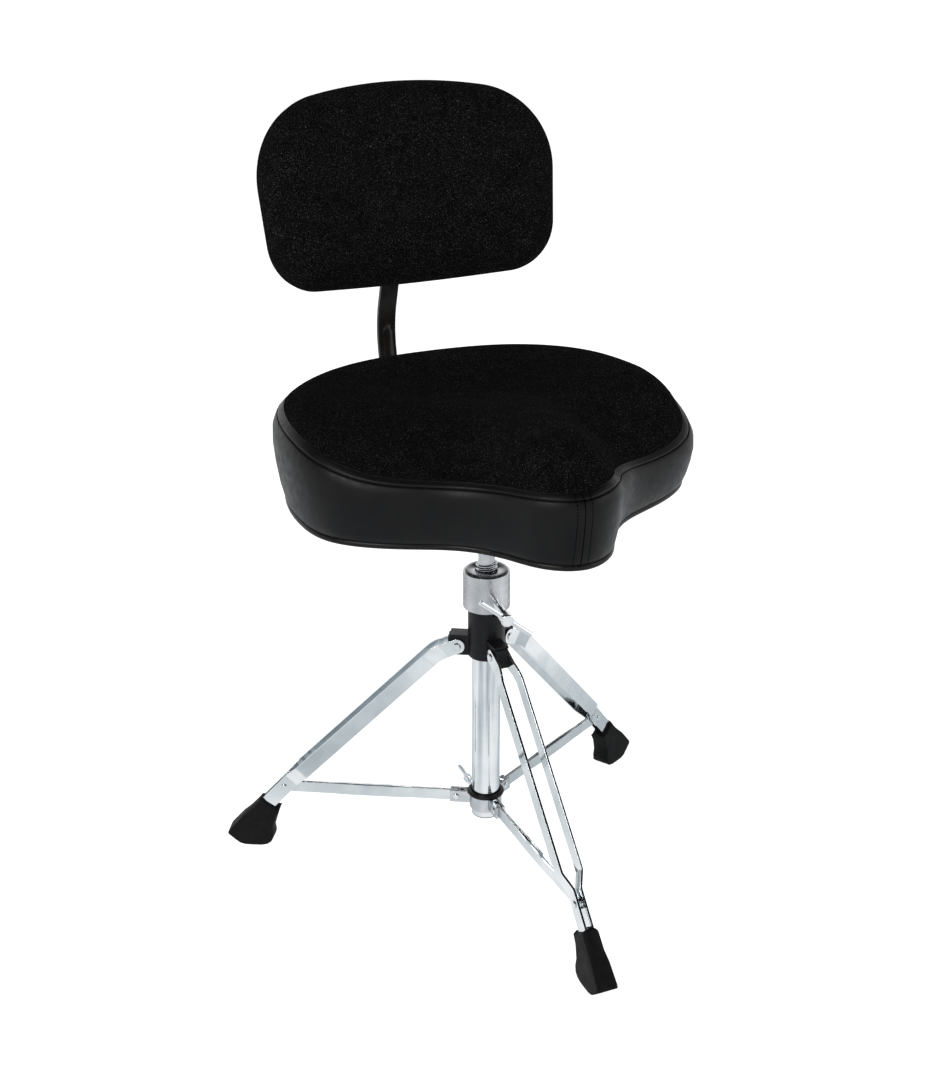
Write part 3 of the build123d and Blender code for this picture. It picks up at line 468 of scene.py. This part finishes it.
PITCH = 5.0
THREAD_TOP = 374.0
TURNS = 38
ROOT_R = 10.4
NECK_R = 9.25
NECK_TOP = 448.0
PER_TURN = 56
NECK_STEPS = 48
PROFILE = (
    (0.0, ROOT_R), (0.22, ROOT_R + 0.1), (0.34, THREAD_R - 0.1), (0.44, THREAD_R),
    (0.62, THREAD_R), (0.72, THREAD_R - 0.1), (0.86, ROOT_R + 0.1), (1.0, ROOT_R),
)
thread_bottom = THREAD_TOP - TURNS * PITCH
thread_rings = []
for step in range(PER_TURN * (TURNS - 1) + 1):
    turn = step / PER_TURN
    angle = 2 * math.pi * turn
    thread_rings.append([
        (radius * math.cos(angle), radius * math.sin(angle), thread_bottom + PITCH * (turn + phase))
        for phase, radius in PROFILE
    ])
# Thread plate: bright crests over dark roots.
thread_chrome = chrome(
    "chrome plate on rolled thread", light="#c6c9cc", dark="#afb3b7", haze=0.08
)
thread = skin("spindle_thread", thread_rings, thread_chrome, around=False)
core_sections = (
    (ROOT_R - 0.3, thread_bottom + 3), (ROOT_R - 0.3, THREAD_TOP - 2), (NECK_R, THREAD_TOP + 1),
    (NECK_R, NECK_TOP - 1), (NECK_R - 1, NECK_TOP),
)
core_rings = [circle(radius, z, NECK_STEPS) for radius, z in core_sections]
core = skin("spindle_neck", core_rings, thread_chrome, ends=True)
core.data.set_sharp_from_angle(angle=math.radians(30))
for piece in (thread, core):
    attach(piece, "spindle")
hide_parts("spindle")
# Zinc: a hazy grey, slightly warm.
zinc = chrome("bright zinc plate", light="#b9bab6", dark="#9d9f9c", haze=0.22)
finish(plug_nylon, "spindle_guide")
finish(zinc, "thrust_ring", "retaining_ring")

# ---------------------------------------------------------------- swivel and seat plate
# Bronze bush in a black steel housing, welded to a square plate that is bolted to the plywood
# board.  The board's edge and underside are stained black and sealed, with the veneer's grain.

# Bronze: a dull brown metal with fine pores.
bronze, tree, shader = new_material("sintered bronze", Metallic=1.0, Roughness=0.35)
pores = ramp(tree, noise(tree, 1.5), ((0.4, "#8d6a3c"), (0.6, "#a57f4c")))
tree.links.new(pores, shader.inputs["Base Color"])
bump(tree, shader, noise(tree, 0.7), 0.02)
finish(bronze, "swivel_bearing")
# Steel coat: a brownish black with a clearer highlight than the hub's.
steel_coat = moulded(
    "semi-gloss black powder coat", "#191614", "#110f0e", 0.3, grain=1.4, relief=0.015, level=0.25
)
eased("swivel_housing", "seat", steel_coat, ease=0.5)
eased("seat_plate", "seat", steel_coat, ease=0.4)
finish(zinc, "seat_plate_bolts")

# Plywood: near black, with long dark brown grain.
birch, tree, shader = new_material(
    "black stained birch plywood", Roughness=0.5, Specular_IOR_Level=0.2
)
grain_lines = noise(tree, 3, 4.0, (1, 0.08, 1))
tree.links.new(
    ramp(tree, grain_lines, ((0.3, "#171412"), (0.5, "#211d1a"), (0.7, "#1a1715"))),
    shader.inputs["Base Color"],
)
bump(tree, shader, grain_lines, 0.05)
finish(birch, "seat_board")

# ---------------------------------------------------------------- seat cushion
# Moulded saddle foam: a raised nose ridge, two thigh hollows, a dished middle and a high rim.
# Black velour covers the top and black vinyl the boxing, joined by a seam with a row of top
# stitching below it; the boxing's own seam, stitched on both sides, is on the nose.

TRIM_LOW = 454.5
HEM_RISE = 3
AROUND = 360
SEAT_STATIONS = [
    (35, -212, 538), (59, -175, 530), (92, -138, 520), (136, -114, 516), (176, -90, 517),
    (202, -62, 522), (213, -15, 538), (208, 45, 546), (186, 105, 549), (120, 163, 551),
]
LEFT_BORDERS = [534, 531, 528, 529, 534, 544, 553, 555, 554, 553]
TIP = (0, -229, 536)
REAR = (0, 186, 552)


def closed_spline(points, count):
    """Smooth closed curve through points, by chord length, as an array of count points."""
    knots = np.array(points, float)
    total = len(knots)
    steps = np.linalg.norm((np.roll(knots, -1, 0) - knots)[:, :2], axis=1)
    system = np.zeros((total, total))
    right = np.zeros_like(knots)
    for i in range(total):
        before, after = steps[i - 1], steps[i]
        system[i, i - 1] = after
        system[i, i] = 2 * (before + after)
        system[i, (i + 1) % total] = before
        right[i] = 3 * (
            after / before * (knots[i] - knots[i - 1])
            + before / after * (knots[(i + 1) % total] - knots[i])
        )
    slopes = np.linalg.solve(system, right)
    along = np.r_[0, np.cumsum(steps)]
    places = np.linspace(0, along[-1], count, endpoint=False)
    curve = []
    for place in places:
        i = min(int(np.searchsorted(along, place, "right")) - 1, total - 1)
        j = (i + 1) % total
        t = (place - along[i]) / steps[i]
        curve.append(
            (2 * t**3 - 3 * t**2 + 1) * knots[i] + (t**3 - 2 * t**2 + t) * steps[i] * slopes[i]
            + (3 * t**2 - 2 * t**3) * knots[j] + (t**3 - t**2) * steps[i] * slopes[j]
        )
    return np.array(curve)


left_stations = [(-x, y, z) for (x, y, _), z in zip(SEAT_STATIONS, LEFT_BORDERS)]
outline = closed_spline([TIP, *SEAT_STATIONS, REAR, *reversed(left_stations)], AROUND)
tangent = np.roll(outline, -1, 0)[:, :2] - np.roll(outline, 1, 0)[:, :2]
tangent /= np.linalg.norm(tangent, axis=1)[:, None]
outward = np.c_[tangent[:, 1], -tangent[:, 0]]


def smooth_step(low, high, value):
    """0 below low, 1 above high and a smooth rise between."""
    t = min(max((value - low) / (high - low), 0.0), 1.0)
    return t * t * (3 - 2 * t)


def hollow(x, y, at, size):
    """Round bell of height 1 centred at a place."""
    return math.exp(-((x - at[0]) / size[0]) ** 2 - ((y - at[1]) / size[1]) ** 2)


RIM_HEIGHT = 570.0


def seat_top(x, y):
    """Height of the velour inside its rolled edge: a rim less the dish, the thighs and the nose."""
    dish = 18 * hollow(x, y, (0, 45), (110, 75))
    side = abs(x)
    sides = smooth_step(22, 90, side) * smooth_step(225, 165, side)
    thighs = 36 * smooth_step(25, -125, y) * sides
    nose = 22 * smooth_step(-160, -222, y)
    return RIM_HEIGHT - dish - thighs - nose


BOXING = (
    (0.0, -1.0), (0.07, 3.5), (0.2, 7.0), (0.4, 10.5), (0.6, 12.5), (0.78, 12.0), (0.88, 9.0),
    (0.94, 5.5), (1.0, 0.5),
)


def boxing(index, share):
    """Point of the vinyl wall, from its hem at 0 to the seam with the velour at 1."""
    shares, bulges = zip(*BOXING)
    x, y, top = outline[index % AROUND]
    low = TRIM_LOW + HEM_RISE
    ux, uy = outward[index % AROUND]
    bulge = float(np.interp(share, shares, bulges))
    waist = smooth_step(-120, -165, y) * smooth_step(75, 45, abs(x)) * 3
    bulge -= waist * math.sin(math.pi * share)
    rise = low + (top - low) * (share + 0.04 * math.sin(math.pi * share))
    return Vector((x + ux * bulge, y + uy * bulge, rise))


STITCH_AT = 0.915
SEAM_TUCK = 0.8
wall_shares = (
    0, 0.03, 0.07, 0.13, 0.2, 0.3, 0.4, 0.5, 0.6, 0.69, 0.78, 0.84, 0.885, 0.908, STITCH_AT,
    0.922, 0.95, 0.975, 0.992, 1.0,
)
rings = []
for share in wall_shares:
    ring = []
    for index in range(AROUND):
        spot = boxing(index, share)
        if share in (STITCH_AT, 1.0):
            ux, uy = outward[index]
            spot -= Vector((ux, uy, 0.4)) * SEAM_TUCK
        ring.append(tuple(spot))
    rings.append(ring)
vinyl_rows = len(rings) - 1
ROLL = 36.0
for inset in (0.7, 2.0, 4.0, 7.0, 10.5, 14.5, 19.0, 24.0, 30.0, 37.0):
    ring = []
    for index in range(AROUND):
        x, y, top = outline[index]
        ux, uy = outward[index]
        reach = min(1.0, inset / ROLL)
        depth = 20 + 17 * (abs(x) / 55) ** 3 if y < -120 else 60.0
        moved = min(inset, depth)
        px, py = x - ux * (moved - 0.5), y - uy * (moved - 0.5)
        rise = math.sin(math.pi / 2 * reach) ** 0.8
        ring.append((px, py, top + (seat_top(px, py) - top) * rise))
    rings.append(ring)
last = rings[-1]
for share in (0.85, 0.7, 0.55, 0.4, 0.25, 0.12, 0.0):
    ring = []
    for x, y, _ in last:
        spine_y = min(max(y * 0.55, -150), 70)
        px, py = x * share, spine_y + (y - spine_y) * share
        ring.append((px, py, seat_top(px, py)))
    rings.append(ring)

# Vinyl: satin black, with a soft highlight along the upper bulge.
vinyl, tree, shader = new_material("black upholstery vinyl", Specular_IOR_Level=0.15)
dye = ramp(tree, noise(tree, 35, 3.0), ((0.35, "#08080a"), (0.7, "#0d0d0e")))
tree.links.new(dye, shader.inputs["Base Color"])
tree.links.new(spread(tree, noise(tree, 8), 0.36, 0.48), shader.inputs["Roughness"])
pebble_place = add_node(tree, "TexCoord").outputs["Object"]
pebbles = add_node(
    tree, "TexVoronoi", {"Vector": pebble_place, "Scale": 1 / (1.1 * MM)}, feature="SMOOTH_F1"
).outputs["Distance"]
bump(tree, shader, pebbles, 0.06, 0.6)

# Velour: deep black, with fine grey flecks painted into its colour as the sheen on the ends of the
# pile, more of them in patches; the shader's own sheen is almost off.
velour, tree, shader = new_material(
    "black short pile velour", Roughness=0.95, Sheen_Weight=0.006, Sheen_Roughness=0.5,
    Specular_IOR_Level=0.0,
)
# Painted sheen: grey flecks where the pile's ends would catch the light, over the velour's own near
# black.
pile_sheen_speckle = noise(tree, 0.8, 5.0)
patches = noise(tree, 18, 3.0)
sheen_patch_shift = spread(tree, patches, -0.012, 0.015)
painted_sheen_mix = add_node(tree, "Math", {0: pile_sheen_speckle, 1: sheen_patch_shift}, operation="ADD").outputs[0]
painted_sheen_stops = ((0.4, "#040404"), (0.54, "#0c0c0c"), (0.63, "#202021"), (0.73, "#5c5c5e"))
tree.links.new(ramp(tree, painted_sheen_mix, painted_sheen_stops), shader.inputs["Base Color"])
bump(tree, shader, noise(tree, 0.7, 3.0), 0.25, 0.8)


def weld(made, distance, close=False):
    """Merge the points of a piece that meet, close its open hem and turn its faces outwards."""
    shape = bmesh.new()
    shape.from_mesh(made.data)
    bmesh.ops.remove_doubles(shape, verts=shape.verts, dist=distance * MM)
    if close:
        hem = [edge for edge in shape.edges if edge.is_boundary]
        bmesh.ops.holes_fill(shape, edges=hem, sides=0)
    bmesh.ops.recalc_face_normals(shape, faces=shape.faces)
    shape.to_mesh(made.data)
    shape.free()


cushion = skin("seat_cushion", rings, vinyl)
cushion.data.materials.append(velour)
for polygon in cushion.data.polygons:
    if polygon.index // AROUND >= vinyl_rows:
        polygon.material_index = 1
weld(cushion, 0.6, close=True)
cushion.data.shade_smooth()
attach(cushion, "seat")
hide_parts("seat_pad")

# ---------------------------------------------------------------- stitching
# Bonded black thread, sunk a little into the vinyl: one row below the border seam all round, and
# a row each side of the nose seam.

STITCH_PITCH = 3.4
STITCH_LENGTH = 2.312
THREAD_HALF = 0.42
STITCH_SIDES = 6
SEAM_X = -6.0
ROW_FROM_SEAM = 7.5
# Half width of the strip of painted shade along the nose seam.
SEAM_SHADE_HALF = 0.55


def stitches(name, path, material):
    """Row of short stitches, thinner at their ends, along a path of points in millimetres."""
    runs = [(after - before).length for before, after in zip(path, path[1:])]
    along = np.r_[0, np.cumsum(runs)]
    points, faces = [], []
    for number in range(int(along[-1] / STITCH_PITCH)):
        ends = []
        for at in (number * STITCH_PITCH, number * STITCH_PITCH + STITCH_LENGTH):
            i = min(int(np.searchsorted(along, at, "right")) - 1, len(runs) - 1)
            ends.append(path[i].lerp(path[i + 1], (at - along[i]) / runs[i]))
        start, end = ends
        line = (end - start).normalized()
        side = line.orthogonal().normalized()
        other = line.cross(side)
        base = len(points)
        for share, girth in ((0.0, 0.35), (0.18, 1.0), (0.82, 1.0), (1.0, 0.35)):
            middle = start.lerp(end, share)
            for corner in range(STITCH_SIDES):
                turn = 2 * math.pi * corner / STITCH_SIDES
                spoke = side * math.cos(turn) + other * math.sin(turn)
                points.append(tuple(middle + spoke * THREAD_HALF * girth))
        for ring in range(3):
            for corner in range(STITCH_SIDES):
                here = base + ring * STITCH_SIDES + corner
                beside = base + ring * STITCH_SIDES + (corner + 1) % STITCH_SIDES
                faces.append((here, beside, beside + STITCH_SIDES, here + STITCH_SIDES))
        faces.append(tuple(base + corner for corner in reversed(range(STITCH_SIDES))))
        faces.append(tuple(base + 3 * STITCH_SIDES + corner for corner in range(STITCH_SIDES)))
    made = new_piece(name, points, faces, material)
    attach(made, "seat")


# Thread: black thread, painted still darker than that and than the vinyl as the shade of the furrow
# each stitch sinks into, so each row reads as a fine dashed line; the same near black fills the
# nose seam as painted shade of its groove.
black_thread_and_groove_shade, tree, shader = new_material(
    "bonded black thread and painted groove shade", Roughness=0.8, Specular_IOR_Level=0.0
)
thread_and_shade_tone = ramp(tree, noise(tree, 0.5), ((0.3, "#010101"), (0.7, "#030303")))
tree.links.new(thread_and_shade_tone, shader.inputs["Base Color"])
bump(tree, shader, noise(tree, 0.3), 0.05)

row = [boxing(index, STITCH_AT) + Vector((0, 0, -0.1)) for index in range(AROUND + 1)]
stitches("border_stitches", row, black_thread_and_groove_shade)


def wall_line(x):
    """Path down the vinyl wall of the nose at a distance across, from the border to the hem."""
    front = [i for i in range(-40, 41) if outline[i][1] < -195]
    spots = []
    for share in np.linspace(0.985, 0.02, 40):
        places = [boxing(i, share) for i in front]
        after = next(k for k in range(1, len(places)) if places[k].x >= x)
        before = places[after - 1]
        blend = (x - before.x) / (places[after].x - before.x)
        spots.append(before.lerp(places[after], blend))
    return spots


stitches("nose_stitches_left", wall_line(SEAM_X - ROW_FROM_SEAM), black_thread_and_groove_shade)
stitches("nose_stitches_right", wall_line(SEAM_X + ROW_FROM_SEAM), black_thread_and_groove_shade)
# Nose seam: a thin near-black strip laid along it, painted shade for the seam's groove.
turns = [math.pi * corner / 3 for corner in range(6)]
rings = [
    [(spot.x + SEAM_SHADE_HALF * math.cos(turn), spot.y + 0.15 + 0.4 * math.sin(turn), spot.z)
     for turn in turns]
    for spot in wall_line(SEAM_X)
]
seam_groove_shade = skin("nose_seam_shade", rings, black_thread_and_groove_shade, ends=True)
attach(seam_groove_shade, "seat")

# ---------------------------------------------------------------- edge trim of the seat
# Extruded black vinyl strip round the bottom edge of the cover, stapled to the board's edge.

# Trim: a slightly warm black with a thin bright line along its edge.
trim_vinyl = moulded("extruded black vinyl trim", "#1a1917", "#0e0d0d", 0.3, relief=0.01)
STRIP = (
    (-4.5, 0.4), (-1.5, 0.0), (1.2, 0.3), (2.2, 1.6), (2.4, 3.4), (1.7, 5.4), (0.2, 6.2),
    (-4.5, 6.0),
)
rings = []
for index in range(AROUND):
    x, y, _ = outline[index]
    ux, uy = outward[index]
    rings.append([(x + ux * grow, y + uy * grow, TRIM_LOW + rise) for grow, rise in STRIP])
rings.append(rings[0])
trim = skin("seat_edge_trim", rings, trim_vinyl)
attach(trim, "seat")
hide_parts("seat_trim")

# ---------------------------------------------------------------- backrest bar and its bracket
# Flat steel bar bent to a J, with a rounded stiffening bead pressed into its lower front, in
# semi-gloss black; a welded bracket under the board and a hand knob hold it.

BAR_ROUTE = ((74, 447), (269, 447), (294, 562), (272, 632), (272, 795))
BAR_BENDS = (42, 110, 40)
BAR_HALF = 11.0
BAR_HALF_T = 3.0
BAR_EDGE = 0.8
BEAD_TOP = 566
BEAD_HALF = 6.2
BEAD_LIFT = 2.0


def bent_route(points, radii, step):
    """Points along a polyline whose corners are rounded, about a step apart."""
    route = [Vector(points[0])]
    for before, corner, after, radius in zip(points, points[1:], points[2:], radii):
        corner = Vector(corner)
        back = (Vector(before) - corner).normalized()
        on = (Vector(after) - corner).normalized()
        half = back.angle(on) / 2
        tangent_length = radius / math.tan(half)
        hub = corner + (back + on).normalized() * radius / math.sin(half)
        start = corner + back * tangent_length
        end = corner + on * tangent_length
        for piece in range(11):
            ray = (start - hub).normalized().slerp((end - hub).normalized(), piece / 10)
            route.append(hub + ray * radius)
    route.append(Vector(points[-1]))
    fine = [route[0]]
    for start, end in zip(route, route[1:]):
        pieces = max(1, round((end - start).length / step))
        fine += [start.lerp(end, piece / pieces) for piece in range(1, pieces + 1)]
    return fine


route = bent_route(BAR_ROUTE, BAR_BENDS, 3.0)
bead_rings = []
for index, spot in enumerate(route):
    ahead = route[min(index + 1, len(route) - 1)] - route[max(index - 1, 0)]
    ahead.normalize()
    front = Vector((-ahead.y, ahead.x))
    bead = smooth_step(BEAD_TOP, BEAD_TOP - 7, spot.y) * smooth_step(228, 242, spot.x)
    closing = math.sqrt(max(0.0, min(1.0, (BEAD_TOP - spot.y) / 12)))
    bead_half = max(BEAD_HALF * closing, 0.8)
    ring = []
    profile = [(BAR_EDGE - BAR_HALF, BAR_HALF_T), (-8.0, BAR_HALF_T)]
    for share in (-1.0, -0.75, -0.4, 0.0, 0.4, 0.75, 1.0):
        lift = BEAD_LIFT * bead * (1 - abs(share) ** 3)
        profile.append((bead_half * share, BAR_HALF_T + lift))
    profile += [
        (8.0, BAR_HALF_T), (BAR_HALF - BAR_EDGE, BAR_HALF_T), (BAR_HALF, BAR_HALF_T - BAR_EDGE),
        (BAR_HALF, BAR_EDGE - BAR_HALF_T), (BAR_HALF - BAR_EDGE, -BAR_HALF_T),
        (BAR_EDGE - BAR_HALF, -BAR_HALF_T), (-BAR_HALF, BAR_EDGE - BAR_HALF_T),
        (-BAR_HALF, BAR_HALF_T - BAR_EDGE),
    ]
    for side, depth in profile:
        place = spot + front * depth
        ring.append((side, place.x, place.y))
    bead_rings.append(ring)
bar = skin("back_bar_beaded", bead_rings, steel_coat, ends=True)
bar.data.set_sharp_from_angle(angle=math.radians(40))
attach(bar, "back_bar")
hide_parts("back_bar")

eased("bar_bracket", "seat", steel_coat, ease=0.5)
finish(zinc, "bracket_screws")

# ---------------------------------------------------------------- hand knobs
# Black phenolic hand knobs with six shallow finger lobes; each stud is moulded with its knob.

KNOB_R = 17.0
KNOB_STEPS = 72
LOBE_DEPTH = 1.6
# Phenolic: a hard black with small sharp highlights on the lobes.
phenolic = moulded("black phenolic moulding", "#161616", "#0d0d0d", 0.28, relief=0.008)


def hand_knob(name, body, end, outward_axis):
    """Lobed knob on a stud, whose far face is at end, pointing outwards along an axis."""
    axis = Vector(outward_axis)
    side = axis.orthogonal().normalized()
    other = axis.cross(side)
    sections = (
        (30, 0, 0), (30, 3.9, 0), (21.6, 3.9, 0), (21.6, 9, 0), (15.5, 9, 0), (14, 13, 0.5),
        (12.6, KNOB_R - 1.2, 1), (11, KNOB_R - 0.2, 1), (3.5, KNOB_R - 0.2, 1),
        (1.4, KNOB_R - 1.5, 1), (0.2, 12.5, 0.4), (0, 0, 0),
    )
    rings = []
    for back, radius, lobed in sections:
        ring = []
        for step in range(KNOB_STEPS):
            turn = 2 * math.pi * step / KNOB_STEPS
            lobe = lobed * LOBE_DEPTH * (1 - abs(math.cos(3 * turn)))
            reach = max(radius - lobe, 0.01)
            spoke = side * math.cos(turn) + other * math.sin(turn)
            ring.append(tuple(Vector(end) - axis * back + spoke * reach))
        rings.append(ring)
    made = skin(name, rings, phenolic)
    weld(made, 0.1)
    made.data.set_sharp_from_angle(angle=math.radians(35))
    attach(made, body)
    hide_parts(body)


hand_knob("bar_hand_knob", "bar_knob", (0, 128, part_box("bar_knob")[0].z / MM), (0, 0, -1))
hand_knob(
    "height_hand_knob", "height_knob",
    (0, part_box("height_knob")[1].y / MM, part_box("height_knob")[0].z / MM + KNOB_R), (0, 1, 0),
)

# ---------------------------------------------------------------- backrest
# Curved foam pad on a moulded board, fully covered in black velour and pulled round to the back,
# where a vinyl-faced board is stapled on.  The pile softens the outline.

BACK_CENTRE = Vector((0.0, 222.0, 744.5))
LEAN = math.radians(12.0)
BACK_BEND_R = 600.0
back_up = Vector((0, math.sin(LEAN), math.cos(LEAN)))
back_rear = Vector((0, math.cos(LEAN), -math.sin(LEAN)))


def pad_point(across, up, depth):
    """Place on the pad: across and up its face, and depth towards the rear, on its curve."""
    turn = across / BACK_BEND_R
    side = (BACK_BEND_R + depth) * math.sin(turn)
    rear = (BACK_BEND_R + depth) * math.cos(turn) - BACK_BEND_R
    return BACK_CENTRE + Vector((side, 0, 0)) + back_up * up + back_rear * rear


PAD_AROUND = 240
PAD_CORNERS = (
    (0, 120.5), (180.6, 86.5), (167, -107.3), (0, -113.3), (-167, -107.3), (-180.6, 86.5),
)
PAD_BENDS = (500, 94, 58, 2400, 58, 94)
FLAT_INSET = 45
MIDDLE_INSET = 110


def rounded_loop(corners, radii, count):
    """Evenly spaced points round a closed polygon whose corners are rounded."""
    loop = []
    for index, radius in enumerate(radii):
        corner = Vector(corners[index])
        back = (Vector(corners[index - 1]) - corner).normalized()
        on = (Vector(corners[(index + 1) % len(corners)]) - corner).normalized()
        half = back.angle(on) / 2
        start = corner + back * radius / math.tan(half)
        end = corner + on * radius / math.tan(half)
        hub = corner + (back + on).normalized() * radius / math.sin(half)
        for piece in range(25):
            ray = (start - hub).normalized().slerp((end - hub).normalized(), piece / 24)
            loop.append(hub + ray * radius)
    loop.append(loop[0])
    along = np.r_[0, np.cumsum([(b - a).length for a, b in zip(loop, loop[1:])])]
    places = np.linspace(0, along[-1], count, endpoint=False)
    columns = [np.interp(places, along, [spot[axis] for spot in loop]) for axis in (0, 1)]
    return np.c_[columns[0], columns[1]]


pad_outline = rounded_loop(PAD_CORNERS, PAD_BENDS, PAD_AROUND)
pad_tangent = np.roll(pad_outline, -1, 0) - np.roll(pad_outline, 1, 0)
pad_tangent /= np.linalg.norm(pad_tangent, axis=1)[:, None]
pad_outward = np.c_[-pad_tangent[:, 1], pad_tangent[:, 0]]
if (pad_outward * pad_outline).sum() < 0:
    pad_outward = -pad_outward


def pad_rings(sections):
    """Rings of the pad from (inset, depth) pairs; past FLAT_INSET they close on the middle."""
    rings = []
    for inset, depth in sections:
        ring = []
        for (x, y), (ux, uy) in zip(pad_outline, pad_outward):
            moved = min(inset, FLAT_INSET)
            share = min(1, (MIDDLE_INSET - inset) / (MIDDLE_INSET - FLAT_INSET))
            px, py = (x - ux * moved) * share, (y - uy * moved) * share
            ring.append(tuple(pad_point(px, py, depth)))
        rings.append(ring)
    return rings


front = [
    (MIDDLE_INSET, -27.5), (100, -27.4), (90, -27.2), (78, -27), (66, -26.6), (55, -26.2),
    (45, -25.6), (36, -24.6), (27, -22.6),
]
edge = [
    (19, -19.6), (12, -15.4), (6.5, -10.0), (2.6, -3.8), (0.6, 3.0), (0.2, 9.0), (1.6, 14.6),
    (4.5, 17.8), (8.5, 18.4),
]
rear = [(14, 17.8), (30, 17.0), (45, 16.6), (80, 16.6), (MIDDLE_INSET, 16.6)]
back_pad = skin("backrest_pad", pad_rings(front + edge + rear), velour)
weld(back_pad, 0.5)
back_pad.data.shade_smooth()
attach(back_pad, "backrest")
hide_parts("back_pad")

finish(vinyl, "back_board")
finish(steel_coat, "back_plate")
finish(zinc, "back_plate_screws")
eased("back_sleeve", "backrest", steel_coat, ease=0.6)
